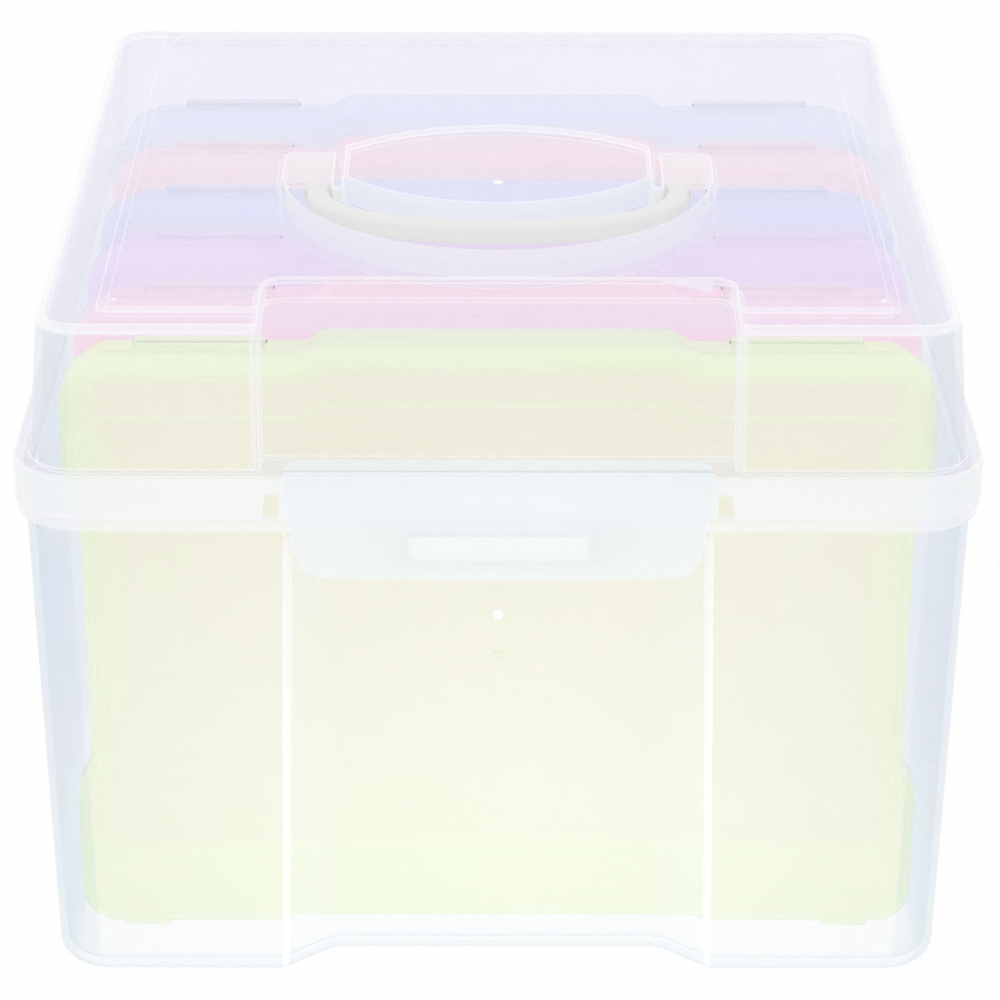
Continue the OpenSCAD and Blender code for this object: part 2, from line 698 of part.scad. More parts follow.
module case_cover(i) color(TINTS[i], 0.6) {
    front = case_front(i);
    rim = front + cover_t;
    border_z = cover_t - panel_step;
    inner_z = border_z - case_wall;
    inner_r = case_edge_r / 2;
    tongue_z = case_z + case_h - case_wall;
    hook_z = case_z + case_h - tray_top_in + rest_gap;
    stand(rim) loft(concat(
        [cover_ring(case_wall + inner_r, inner_z),
         cover_ring(case_wall, inner_z - inner_r),
         cover_ring(case_wall, 0),
         cover_ring(0, 0)],
        [for (a = [0, 30, 60, 90])
            cover_ring(case_edge_r * (1 - cos(a)), border_z - case_edge_r * (1 - sin(a)))],
        [panel_ring(0, border_z), panel_ring(panel_step / 2, cover_t)]));
    for (side = [-1, 1]) {
        case_foot(side * foot_x, front + 2 * case_edge_r, rim - case_wall, case_z + case_wall / 2);
        // Snap tongue, with the hook at its end
        translate([side * tongue_x - tongue_w / 2, rim - 1, tongue_z])
            cube([tongue_w, tongue_len + 1, case_wall]);
        translate([side * tongue_x - tongue_w / 2, rim + tongue_len - case_wall, hook_z])
            cube([tongue_w, case_wall, tongue_z - hook_z + eps]);
    }
}

module case_tray(i) color(TINTS[i], 0.6) {
    rear = case_front(i) + case_t;
    rim = case_front(i) + cover_t;
    tray_t = case_t - cover_t + nest;
    inner_r = case_edge_r / 2;
    top = case_z + case_h - tray_top_in;
    tray_low = case_z + tray_low_in;
    bead_r = case_wall - 0.2;
    bead_gap = 0.6;
    stand(rear) loft(concat(
        [for (a = [90, 60, 30, 0])
            tray_ring(case_edge_r * (1 - cos(a)), case_edge_r * (1 - sin(a)))],
        [tray_ring(0, tray_t),
         tray_ring(case_wall, tray_t),
         tray_ring(case_wall, case_wall + inner_r),
         tray_ring(case_wall + inner_r, case_wall)]));
    for (side = [-1, 1]) {
        case_foot(side * foot_x, rim + 2 * case_wall, rear - 2 * case_edge_r, tray_low + case_wall / 2);
        // Bead behind which the snap tongue catches
        across(side * tongue_x - tongue_w / 2 + 1, side * tongue_x + tongue_w / 2 - 1)
            translate([rim + tongue_len - case_wall - bead_r - bead_gap, top]) circle(bead_r);
        // Finger tab
        translate([side * tab_x - tab_w / 2, rim + 0.5, top - case_wall / 2])
            cube([tab_w, 2 * case_wall, tray_top_in - 2]);
    }
}

base_bin();
lid();
latch_plate();
front_latch();
carry_handle();
for (i = [0:COUNT - 1]) {
    case_cover(i);
    case_tray(i);
}
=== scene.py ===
"""Photo keeper case: a clear carrying case that holds six tinted photo cases on edge."""

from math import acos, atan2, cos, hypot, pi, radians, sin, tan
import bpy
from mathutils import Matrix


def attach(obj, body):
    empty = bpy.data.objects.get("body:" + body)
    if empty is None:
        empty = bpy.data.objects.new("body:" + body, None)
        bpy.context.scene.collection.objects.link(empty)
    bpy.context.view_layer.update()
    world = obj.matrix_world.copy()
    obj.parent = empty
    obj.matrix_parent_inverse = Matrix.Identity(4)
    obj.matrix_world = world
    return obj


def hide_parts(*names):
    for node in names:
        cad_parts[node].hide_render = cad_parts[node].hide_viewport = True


bl_info = {
    "name": "Photo keeper case",
    "version": (1, 0, 0),
    "blender": (4, 5, 0),
    "location": "3D View > Sidebar > Keeper",
    "description": "Dresses a clear carrying case that holds six tinted photo cases",
    "category": "Object",
}

from types import SimpleNamespace

import bmesh
import bpy
from bpy.props import FloatProperty, FloatVectorProperty, IntProperty, PointerProperty
from bpy.types import Operator, Panel, PropertyGroup
from mathutils import Euler, Vector

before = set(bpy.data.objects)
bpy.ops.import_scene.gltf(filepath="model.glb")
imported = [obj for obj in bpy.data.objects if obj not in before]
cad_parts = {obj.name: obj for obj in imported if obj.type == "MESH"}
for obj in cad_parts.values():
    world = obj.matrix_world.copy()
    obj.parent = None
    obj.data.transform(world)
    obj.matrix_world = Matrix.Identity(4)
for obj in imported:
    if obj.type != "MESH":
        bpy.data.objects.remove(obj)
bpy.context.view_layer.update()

MM = 0.001
SLIP = 0.01 * MM  # keeps the faces of two joined solids from lying in one plane
HAIR = 0.1 * MM  # margin of a test on where a face lies
OVER = 1 * MM  # how far a carving solid passes what it cuts
FAR = 20 * MM  # how far it reaches where nothing stands in its way
SEAT_ROOM = 1 * MM  # room beside the catch in its seat
TINTS = 6
PIN_SIDES = 24
PLASTIC_IOR = 1.49
CLOUD_SCALE = 24
RIPPLE_SCALE = 55
GRAIN_RANGE = (0.3, 0.7)  # where most of a noise's values lie
# The edge slot holds the near-white painted highlight of rounded edges, partly the plastic seen edge-on; the
# haze slot a paler copy of the clear plastic, painted light on walls seen straight on; the corner slot a
# darker blue-grey, painted shade where the upright corners turn away, partly the plastic's own tint seen
# along it.
WALL, EDGE_HIGHLIGHT, FROST, LIT_HAZE, CORNER_SHADE = range(5)  # material slots of a clear piece


def length(name, description, millimetres):
    """A size in metres whose default is written in millimetres."""
    return FloatProperty(name=name, description=description, default=millimetres * MM,
                         unit="LENGTH", precision=5)


def colour(name, description, value):
    """A linear colour."""
    return FloatVectorProperty(name=name, description=description, default=value,
                               subtype="COLOR", min=0, max=1)


def share(name, description, value):
    """A number from 0 to 1."""
    return FloatProperty(name=name, description=description, default=value, min=0, max=1, subtype="FACTOR")


def strength(name, description, value):
    """A strength, a power or a focal length, which is never negative."""
    return FloatProperty(name=name, description=description, default=value, min=0)


def bearing(name, description, degrees):
    """An angle whose default is written in degrees."""
    return FloatProperty(name=name, description=description, default=radians(degrees), subtype="ANGLE")


class KeeperCaseSizes(PropertyGroup):
    """Sizes of one inner photo case."""
    width: length("Width", "Width of a photo case across its wide ends", 190)
    height: length("Height", "Height from the underside to the shoulders", 138)
    rise: length("Rise", "How far the middle rises above the shoulders", 3)
    rise_half_w: length("Rise half width", "Half width of the raised middle at its top", 38)
    rise_slope: length("Rise slope", "Length of the slope at each end of the raised middle", 5)
    thick: length("Thickness", "Thickness from front to back", 31.4)
    gap: length("Gap", "Gap between one photo case and the next", 0.5)
    cover_t: length("Cover", "Thickness of the cover, the front shell", 14)
    nest: length("Nest", "How far the tray reaches into the cover", 3)
    wall: length("Wall", "Wall of a photo case", 1.2)
    waist_in: length("Waist", "How far each side is drawn in at the waist", 3.4)
    waist_low: length("Waist start", "Height of the waist's lower end", 34)
    waist_slant: length("Waist slant", "Length of the waist's two slanted ends", 6)
    waist_h: length("Waist height", "Height of the waist between its slanted ends", 66)
    waist_r: length("Waist radius", "Radius of the waist's corners", 4)
    corner_r: length("Corner radius", "Corner radius of a photo case", 8)
    edge_r: length("Edge radius", "Radius of the rounded edge round the front and the back", 3)
    tray_in: length("Tray inset", "Inset of the tray's sides from the cover's outside", 1.45)
    tray_low_in: length("Tray low inset", "Inset of the tray's underside", 1.8)
    tray_top_in: length("Tray top inset", "Inset of the tray's top", 4)
    border: length("Border", "Flat border between the rounded edge and the raised panel", 1.2)
    panel_low: length("Panel foot", "Height of the panel's lower edge above the underside", 19)
    panel_high: length("Panel head", "Distance from the panel's upper edge to the shoulders", 10)
    panel_step: length("Panel step", "How far the panel stands out of the border", 0.8)
    foot_h: length("Foot height", "Height of the feet", 3.2)
    foot_len: length("Foot length", "Length of a foot along the case", 10)
    foot_x: length("Foot place", "Distance from the centre to the middle of a foot", 80.5)
    tongue_w: length("Tongue width", "Width of each snap tongue on top", 29)
    tongue_x: length("Tongue place", "Distance from the centre to the middle of a snap tongue", 65.5)
    tongue_len: length("Tongue length", "Length of a snap tongue from front to back", 8)
    tab_w: length("Tab width", "Width of each finger tab on top of the tray", 7)
    tab_x: length("Tab place", "Distance from the centre to the middle of a finger tab", 45.5)


class KeeperBinSizes(PropertyGroup):
    """Sizes of the bin."""
    wall: length("Wall", "Wall of the bin and of the lid", 1.6)
    floor_t: length("Floor", "Floor of the bin", 2.4)
    height: length("Height", "Height to the top of the walls", 125)
    draft: FloatProperty(name="Draft", description="Outward slope of the walls", default=0.0195, precision=4)
    side_room: length("Side room", "Space beside the photo cases at the foot", 3.5)
    rear_room: length("Rear room", "Space behind the last photo case", 2.6)
    front_room: length("Front room", "Space between the first photo case and the recess", 0.4)
    corner_r: length("Corner radius", "Corner radius of the bin", 12)
    edge_r: length("Foot radius", "Radius of the rounded edge round the foot", 4.5)
    recess_d: length("Recess depth", "Depth of the front recess at the foot", 9.2)
    recess_back_w: length("Recess back", "Half width of the front recess at its back", 36.5)
    recess_foot_w: length("Recess foot", "Half width of the recess's mouth at the foot", 47.8)
    recess_top_w: length("Recess top", "Half width of the recess's mouth under the rim", 45)
    recess_back_r: length("Recess back radius", "Radius of the two back corners", 6)
    recess_mouth_r: length("Recess mouth radius", "Radius of the two mouth corners", 2.6)
    recess_head: length("Recess head", "Solid wall between the recess and the flange lip", 2.4)
    lip_out: length("Lip", "How far the flange lip stands out of the wall", 1.75)
    lip_t: length("Lip thickness", "Thickness of the flange lip", 3)


class KeeperLidSizes(PropertyGroup):
    """Sizes of the lid and its hinges."""
    head_room: length("Head room", "Space between a photo case and the underside of the pocket", 4.2)
    top_t: length("Top", "Thickness of the lid's top", 1.8)
    shelf_w: length("Shelf width", "Width of the shelf round the lid's foot", 3.45)
    shelf_t: length("Shelf thickness", "Thickness of that shelf", 1.7)
    skirt_h: length("Skirt", "Height from the skirt's lower edge to the top of the shelf", 10.3)
    lean: length("Lean", "How far each side leans in from foot to top", 2.65)
    top_r: length("Top radius", "Corner radius of the lid's top", 8.5)
    edge_r: length("Edge radius", "Radius of the rounded edge round the top", 2.5)
    skirt_r: length("Skirt radius", "Corner radius of the skirt", 14)
    plateau_side: length("Panel border", "Border beside the raised panel", 12.9)
    plateau_end: length("Panel ends", "Border before and behind the raised panel", 8.1)
    plateau_r: length("Panel radius", "Corner radius of the raised panel", 1.5)
    plateau_h: length("Panel height", "Height of the raised panel", 1.2)
    notch_half_w: length("Notch", "Half width of the notch and recess in the lid's front", 50.8)
    notch_len: length("Notch length", "Length of the notch from the front edge", 25)
    notch_d: length("Notch depth", "Depth of the notch below the lid's top", 3.6)
    set_back: length("Set back", "How far the front recess is set back at the top", 6.3)
    slope: FloatProperty(name="Recess slope", description="Forward slope of the recess's wall", default=0.067)
    notch_edge_r: length("Notch edge", "Radius of the rounded front edge of the notch", 6.5)
    notch_r: length("Notch radius", "Corner radius of the notch", 4.5)
    slot_w: length("Slot", "Width of the slot in the skirt beside the latch", 3.9)
    slot_lean: length("Slot lean", "How far the slot's outer side leans in", 1.1)
    slot_head: length("Slot head", "Height of the skirt left above the slot", 4.3)
    skirt_gap: length("Skirt gap", "Gap between the skirt and the bin's wall", 0.35)
    rest_gap: length("Rest gap", "Gap between resting surfaces of different pieces", 0.3)
    hinge_x: length("Hinge place", "Distance from the centre plane to each hinge", 62)
    knuckle_len: length("Knuckle", "Length of the lid's knuckle", 14)
    knuckle_r: length("Knuckle radius", "Radius of the lid's knuckle", 2.6)
    ear_t: length("Ear", "Thickness of each hinge ear", 3)
    ear_r: length("Ear radius", "Radius of the hinge ears", 2.8)
    pin_r: length("Pin radius", "Radius of the hinge pins", 1.3)
    pin_gap: length("Pin gap", "Running clearance of a pin in its bore", 0.05)
    end_gap: length("End gap", "Gap at the end of a knuckle or beside the handle's end", 0.3)
    hinge_up: length("Hinge height", "Height of the hinge pins above the flange lip", 1.6)


class KeeperHandleSizes(PropertyGroup):
    """Sizes of the handle and its pocket."""
    pocket_r: length("Pocket radius", "Radius of the pocket's front", 49.5)
    pocket_back: length("Pocket centre", "Distance from the lid's centre to that radius's centre", 9.6)
    pocket_d: length("Pocket depth", "Depth of the pocket below the raised panel", 7.2)
    ear_back: length("Pocket ears", "Distance from the lid's centre to the pocket's back edge", 3)
    ear_corner_r: length("Ear corners", "Radius of the pocket's two back corners", 2)
    island_r: length("Island radius", "Radius of the island's front edge", 45)
    island_front: length("Island front", "Distance from the lid's centre to the island's front", 26.9)
    dish_r: length("Dish radius", "Radius of the dish's back edge", 50)
    dish_back: length("Dish back", "Distance from the lid's centre to the dish's back edge", 22.8)
    dish_d: length("Dish depth", "Depth of the dish below the raised panel", 1.2)
    boss_half_w: length("Bosses", "Half width across the outer faces of the pivot bosses", 38.6)
    boss_t: length("Boss thickness", "Thickness of a pivot boss", 3.2)
    boss_lean: length("Boss lean", "How far the outer side of a boss leans in below the pivot", 0.6)
    boss_nose: length("Boss nose", "How far a boss stands out in front of the pivot", 3.6)
    pivot_fwd: length("Pivot", "Distance from the lid's centre forward to the pivot", 17.2)
    pivot_drop: length("Pivot drop", "Distance from the bow's middle down to the pivot", 0.2)
    grip_w: length("Bow width", "Width of the bow, seen from above", 6.2)
    grip_t: length("Bow thickness", "Thickness of the bow", 4.7)
    grip_reach: length("Reach", "Length from the pivot to the middle of the bow", 24.6)
    bow_power: FloatProperty(name="Squareness", description="Squareness of the bow's curve", default=2.35)
    end_w: length("End width", "Width of the handle's two ends", 5.4)
    end_r: length("End radius", "Radius of the handle's round ends", 2.7)
    pin_r: length("Pin radius", "Radius of the handle's pins", 1.5)
    sunk: length("Sunk", "Depth of the bow below the raised panel", 0.3)


class KeeperLatchSizes(PropertyGroup):
    """Sizes of the latch."""
    half_w: length("Half width", "Half width of the latch at its top", 45.8)
    low_w: length("Low half width", "Half width at the lower corners", 42.6)
    height: length("Height", "Height from the shelf to the lower edge", 23)
    bow: length("Bow", "How far the middle of the lower edge hangs below its ends", 0.6)
    thick: length("Thickness", "Thickness of the latch", 1.5)
    cheek: length("Cheek", "Length of the straight upper sides", 4.8)
    corner_r: length("Corner radius", "Radius of the lower corners", 6)
    plate_d: length("Plate", "Depth of the plate from front to back", 6.2)
    catch_half_w: length("Catch", "Half width of the catch bar", 19.3)
    catch_h: length("Catch height", "Height of the catch bar", 6)
    catch_d: length("Catch depth", "Depth of the catch bar", 1.3)


class KeeperFinish(PropertyGroup):
    """Colours and clearness of the plastics; some colours carry painted highlight, light or shade."""
    # The lid's top keeps this darker lilac clear colour, darkened as painted shade to offset the lamp above.
    clear: colour("Clear plastic", "Clear plastic of the lid's top", (0.79, 0.76, 0.92))
    # Paler copy of the clear plastic for walls seen straight on: painted light.
    lit_haze: colour("Haze", "Clear plastic of the upright walls and the floor", (0.93, 0.95, 0.97))
    # Darker blue-grey where the upright corners turn away: painted shade, partly the plastic's own tint seen
    # along its surface.
    corner: colour("Corners", "Clear plastic where it turns away at the upright corners", (0.66, 0.78, 0.85))
    corner_shade_rim: share("Corner opacity", "How much a clear corner hides, seen along its surface", 0.62)
    clear_face: share("Wall opacity", "How much a clear wall hides, seen straight on", 0.10)
    clear_rim: share("Rim opacity", "How much a clear wall hides, seen along its surface", 0.42)
    # Near-white, more opaque rounded edges: painted highlight, partly the plastic seen edge-on.
    edge: colour("Edges", "Rounded edges of the clear plastic", (0.97, 0.975, 1.0))
    edge_highlight_face: share("Edge opacity", "How much a rounded edge hides", 0.55)
    frost: colour("Frosted plastic", "Frosted skirt and pocket walls", (0.94, 0.96, 0.97))
    frost_face: share("Frost opacity", "How much the frosted skirt and pocket walls hide", 0.6)
    latch: colour("Latch", "Frosted plastic of the latch", (0.88, 0.93, 0.95))
    latch_face: share("Latch opacity", "How much the frosted latch hides", 0.46)
    handle: colour("Handle", "Pale grey handle", (0.80, 0.81, 0.80))
    tint_1: colour("Tint 1", "Yellow-green case", (0.77, 0.92, 0.48))
    tint_2: colour("Tint 2", "Pink case", (0.99, 0.57, 0.78))
    tint_3: colour("Tint 3", "Violet case", (0.81, 0.52, 0.96))
    tint_4: colour("Tint 4", "Blue case", (0.54, 0.62, 0.99))
    tint_5: colour("Tint 5", "Coral case", (0.99, 0.64, 0.71))
    tint_6: colour("Tint 6", "Aqua case", (0.61, 0.75, 0.97))
    tint_face: share("Tint opacity", "How much a tinted wall hides, seen straight on", 0.30)
    tint_rim: share("Tint rim opacity", "How much a tinted wall hides, seen along its surface", 0.72)
    # Warm tone that stands in for light passing through the other tinted cases: painted light on each case's
    # faces.
    stack_light: colour("Case face shade", "Shade that the faces of a tinted case lean to", (1.0, 0.90, 0.86))
    stack_light_lean: share("Case face lean", "How far the faces of a tinted case lean to that shade", 0.4)
    # The sides, tops and rounded edges of a tinted case are a paler, more opaque copy of its tint: painted
    # highlight.
    tint_highlight_face: share("Tint edge opacity", "How much the sides and edges of a tinted case hide", 0.54)
    pale: share("Paler edges", "How much paler those sides and edges are", 0.3)
    light_through: share("Light through", "How much less a see-through wall shades what lies behind it", 0.85)
    fillet: length("Edge radius", "Radius of the small edges of moulded pieces", 0.3)
    wide_fillet: length("Wide edge radius", "Radius of the edges round the pocket, dish and notch", 0.6)
    mark_r: length("Mark radius", "Radius of the small gate marks", 1.3)
    mark_h: length("Mark height", "How far a gate mark stands out", 0.2)
    dot_r: length("Dot radius", "Radius of the ejector dots near the corners of the raised panel", 0.7)


def sizes():
    """Every group of sizes, with the heights and places that several pieces share."""
    scene = bpy.context.scene
    case, tub, lid = scene.keeper_case, scene.keeper_bin, scene.keeper_lid
    grip, latch = scene.keeper_handle, scene.keeper_latch
    s = SimpleNamespace(case=case, tub=tub, lid=lid, grip=grip, latch=latch, finish=scene.keeper_finish)

    s.pitch = case.thick + case.gap
    stack_d = TINTS * s.pitch - case.gap
    s.bin_w = case.width + 2 * tub.side_room + 2 * tub.wall
    s.bin_d = tub.recess_d + tub.wall + tub.front_room + stack_d + tub.rear_room + tub.wall
    s.stack_front = s.bin_d / 2 - tub.wall - tub.rear_room - stack_d
    s.recess_back = s.bin_d / 2 - tub.recess_d

    s.shelf_under = tub.height + lid.rest_gap
    s.shelf_z = s.shelf_under + lid.shelf_t
    s.skirt_low = s.shelf_z - lid.skirt_h
    s.lip_top = s.skirt_low - lid.rest_gap
    s.lip_low = s.lip_top - tub.lip_t
    s.recess_top = s.lip_low - tub.recess_head
    s.skirt_out_w = s.bin_w / 2 + tub.draft * tub.height + lid.skirt_gap + tub.wall
    s.skirt_out_d = s.bin_d / 2 + tub.draft * tub.height + lid.skirt_gap + tub.wall

    s.case_z = tub.floor_t + lid.rest_gap + case.foot_h
    s.pocket_floor = s.case_z + case.height + case.rise + lid.head_room + lid.top_t
    s.plateau_z = s.pocket_floor + grip.pocket_d
    s.lid_z = s.plateau_z - lid.plateau_h
    s.lid_foot_w = s.skirt_out_w - lid.shelf_w
    s.lid_foot_d = s.skirt_out_d - lid.shelf_w
    s.lid_top_w = s.lid_foot_w - lid.lean
    s.lid_top_d = s.lid_foot_d - lid.lean
    s.notch_z = s.lid_z - lid.notch_d
    s.recess_wall_y = -s.lid_top_d + lid.set_back

    s.grip_z = s.plateau_z - grip.sunk - grip.grip_t / 2
    s.pivot_z = s.grip_z - grip.pivot_drop
    s.pivot_y = -grip.pivot_fwd
    s.grip_mid_x = grip.boss_half_w + lid.end_gap + grip.end_w / 2

    s.flap_back = -s.skirt_out_d - lid.rest_gap
    s.latch_axis_y = s.flap_back - latch.thick / 2
    s.latch_axis_z = s.shelf_z + latch.thick / 2
    s.latch_low_z = s.shelf_z - latch.height
    s.catch_tip = s.flap_back + latch.catch_d
    s.hinge_y = s.skirt_out_d + lid.ear_r + lid.rest_gap
    s.hinge_z = s.lip_top + lid.hinge_up
    return s


def turned(v, angle):
    """The pair v turned by the angle, in radians."""
    return (v[0] * cos(angle) - v[1] * sin(angle), v[0] * sin(angle) + v[1] * cos(angle))


def arc(centre, radius, start, end, steps):
    """Points of an arc between two angles, in radians."""
    angles = [start + (end - start) * i / steps for i in range(steps + 1)]
    return [(centre[0] + radius * cos(a), centre[1] + radius * sin(a)) for a in angles]


def circle(centre, radius, sides=PIN_SIDES):
    """The points of a circle."""
    return arc(centre, radius, 0, 2 * pi, sides)[:-1]


def quarter(radius, steps):
    """For each step round a quarter circle, how far it lies from the tangents at its two ends."""
    angles = [pi / 2 * i / steps for i in range(steps + 1)]
    return [(radius * (1 - cos(a)), radius * (1 - sin(a))) for a in angles]


def corner_arc(a, p, b, radius, steps):
    """Points of the arc that rounds the corner p between a and b."""
    straight = radians(89.9)
    ua, ub = hypot(a[0] - p[0], a[1] - p[1]), hypot(b[0] - p[0], b[1] - p[1])
    u = ((a[0] - p[0]) / ua, (a[1] - p[1]) / ua)
    v = ((b[0] - p[0]) / ub, (b[1] - p[1]) / ub)
    half = acos(max(-1.0, min(1.0, u[0] * v[0] + u[1] * v[1]))) / 2
    if half > straight:
        return [(p[0] + v[0] * MM * (i / steps - 0.5), p[1] + v[1] * MM * (i / steps - 0.5))
                for i in range(steps + 1)]
    middle = hypot(u[0] + v[0], u[1] + v[1])
    reach = radius / sin(half) / middle
    centre = (p[0] + (u[0] + v[0]) * reach, p[1] + (u[1] + v[1]) * reach)
    touch = radius / tan(half)
    start = (p[0] + u[0] * touch - centre[0], p[1] + u[1] * touch - centre[1])
    sweep = (pi - 2 * half) * (-1 if u[0] * v[1] - u[1] * v[0] > 0 else 1)
    spokes = [turned(start, sweep * i / steps) for i in range(steps + 1)]
    return [(centre[0] + x, centre[1] + y) for x, y in spokes]


def rounded(corners):
    """An outline of corners given as (x, y, radius, steps); a corner without steps stays sharp."""
    least = 0.3 * MM
    outline = []
    for i, (x, y, radius, steps) in enumerate(corners):
        if not steps:
            outline.append((x, y))
            continue
        before, after = corners[i - 1], corners[(i + 1) % len(corners)]
        outline += corner_arc(before[:2], (x, y), after[:2], max(least, radius), steps)
    return outline


def mirrored(side):
    """The corners of one side, followed by their mirror images."""
    return side + [(-x, *rest) for x, *rest in reversed(side)]


def lifted(outline, z):
    """An outline in X and Y at the height z."""
    return [(x, y, z) for x, y in outline]


def standing(outline, y):
    """An outline in X and Z at the depth y."""
    return [(x, y, z) for x, z in outline]


def sideways(outline, x):
    """An outline in Y and Z at the place x."""
    return [(x, y, z) for y, z in outline]


def placed(name, data):
    """A new object in the scene."""
    holder = bpy.data.objects.new(name, data)
    bpy.context.scene.collection.objects.link(holder)
    return holder


def solid(name, rings):
    """A new closed object made of rings of points, with flat ends."""
    shape = bmesh.new()
    rows = [[shape.verts.new(p) for p in ring] for ring in rings]
    count = len(rows[0])
    faces = [shape.faces.new(rows[0]), shape.faces.new(reversed(rows[-1]))]
    for low, high in zip(rows, rows[1:]):
        for j in range(count):
            k = (j + 1) % count
            faces.append(shape.faces.new((low[k], low[j], high[j], high[k])))
    bmesh.ops.recalc_face_normals(shape, faces=faces)
    mesh = bpy.data.meshes.new(name)
    shape.to_mesh(mesh)
    shape.free()
    return placed(name, mesh)


def outward(piece):
    """Merges a closed piece's doubles and turns its faces outwards."""
    shape = bmesh.new()
    shape.from_mesh(piece.data)
    bmesh.ops.remove_doubles(shape, verts=shape.verts, dist=0.001 * MM)
    bmesh.ops.recalc_face_normals(shape, faces=shape.faces)
    shape.to_mesh(piece.data)
    shape.free()
    return piece


def prism(name, place, outline, start, end):
    """A straight solid with the same outline at both ends, which are placed by the given function."""
    return solid(name, [place(outline, start), place(outline, end)])


def rod(name, centre, radius, start, end, sides=PIN_SIDES):
    """A round rod along X, with its centre given in Y and Z."""
    return prism(name, sideways, circle(centre, radius, sides), start, end)


def block(name, low, high):
    """A plain block between two corners."""
    (x0, y0, z0), (x1, y1, z1) = low, high
    return solid(name, [[(x0, y0, z), (x1, y0, z), (x1, y1, z), (x0, y1, z)] for z in (z0, z1)])


def settle(piece):
    """Turns a piece's modifiers into its own plain mesh."""
    evaluated = piece.evaluated_get(bpy.context.evaluated_depsgraph_get())
    mesh = bpy.data.meshes.new_from_object(evaluated)
    old = piece.data
    piece.modifiers.clear()
    piece.data = mesh
    bpy.data.meshes.remove(old)
    return piece


def carve(piece, operation, *tools):
    """Cuts, joins or intersects a piece with other solids, which are then removed."""
    for tool in tools:
        step = piece.modifiers.new("Carve", "BOOLEAN")
        step.operation = operation
        step.solver = "EXACT"
        step.object = tool
    settle(piece)
    for tool in tools:
        bpy.data.meshes.remove(tool.data)
    return piece


def weigh(piece, angle, share_of, is_wide):
    """Gives each sharp edge a bevel weight: 1 where it is wide and the given share elsewhere."""
    shape = bmesh.new()
    shape.from_mesh(piece.data)
    weight = shape.edges.layers.float.new("bevel_weight_edge")
    for edge in shape.edges:
        if len(edge.link_faces) == 2 and edge.calc_face_angle() > radians(angle):
            middle = (edge.verts[0].co + edge.verts[1].co) / 2
            edge[weight] = 1 if is_wide(middle) else share_of
    shape.to_mesh(piece.data)
    shape.free()


def soften(piece, radius, angle=28, material=None, wide=None, is_wide=None):
    """Rounds the sharp edges of a piece; the new faces take the edge material, a near-white painted
    highlight, where it has one.
    """
    if material is None:
        material = EDGE_HIGHLIGHT if len(piece.data.materials) > EDGE_HIGHLIGHT else -1
    step = piece.modifiers.new("Edges", "BEVEL")
    step.width = radius
    step.segments = 3
    step.limit_method = "ANGLE"
    step.angle_limit = radians(angle)
    if wide:
        weigh(piece, angle, radius / wide, is_wide)
        step.width = wide
        step.limit_method = "WEIGHT"
    step.use_clamp_overlap = False
    step.material = material
    settle(piece)
    piece.data.shade_smooth()
    piece.data.set_sharp_from_angle(angle=radians(40))
    return piece


class Grower:
    """A geometry node tree with named inputs that grows a plain mesh on a piece."""

    def __init__(self, name, **inputs):
        self.tree = bpy.data.node_groups.new(name, "GeometryNodeTree")
        face = self.tree.interface
        face.new_socket("Geometry", in_out="INPUT", socket_type="NodeSocketGeometry")
        face.new_socket("Geometry", in_out="OUTPUT", socket_type="NodeSocketGeometry")
        kinds = {int: "NodeSocketInt", float: "NodeSocketFloat"}
        self.values = {}
        for key, value in inputs.items():
            kind = kinds.get(type(value), "NodeSocketMaterial")
            socket = face.new_socket(key.replace("_", " "), in_out="INPUT", socket_type=kind)
            self.values[socket.identifier] = value
        self.given = self.tree.nodes.new("NodeGroupInput").outputs

    def node(self, kind, feeds=None, **values):
        """Adds a node, sets its values, feeds its inputs and returns its first output."""
        added = self.tree.nodes.new(kind)
        for key, value in values.items():
            setattr(added, key, value)
        for key, source in (feeds or {}).items():
            if isinstance(source, bpy.types.NodeSocket):
                self.tree.links.new(source, added.inputs[key])
            else:
                added.inputs[key].default_value = source
        return added.outputs[0]

    def calc(self, operation, *values):
        """A number worked out from one or two others."""
        return self.node("ShaderNodeMath", dict(enumerate(values)), operation=operation)

    def spot(self, x=0.0, y=0.0, z=0.0):
        """A vector made of three numbers."""
        return self.node("ShaderNodeCombineXYZ", {"X": x, "Y": y, "Z": z})

    def rounded_square(self, angle, half_w, half_h, power):
        """X and Y at an angle of a superellipse, whose corners grow squarer as its power falls."""
        sides = []
        for operation, half in (("COSINE", half_w), ("SINE", half_h)):
            value = self.calc(operation, angle)
            size = self.calc("POWER", self.calc("ABSOLUTE", value), power)
            sides.append(self.calc("MULTIPLY", self.calc("MULTIPLY", self.calc("SIGN", value), size), half))
        return sides

    def grow(self, piece, geometry):
        """Ends the tree in plain geometry with its material, and turns it into the piece's mesh."""
        plain = self.node("GeometryNodeRealizeInstances", {"Geometry": geometry})
        dressed = self.node("GeometryNodeSetMaterial", {
            "Geometry": plain, "Material": self.given["Material"]})
        self.tree.links.new(dressed, self.tree.nodes.new("NodeGroupOutput").inputs[0])
        step = piece.modifiers.new("Grow", "NODES")
        step.node_group = self.tree
        for identifier, value in self.values.items():
            step[identifier] = value
        return settle(piece)


def finish_piece(piece, body, slot, *nodes):
    """Lets a piece ride on its body and stand for its CAD nodes."""
    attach(piece, body)
    if nodes:
        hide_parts(*nodes)
    return piece


def node_of(tree, kind):
    """The first node of a kind."""
    return next(node for node in tree.nodes if node.type == kind)


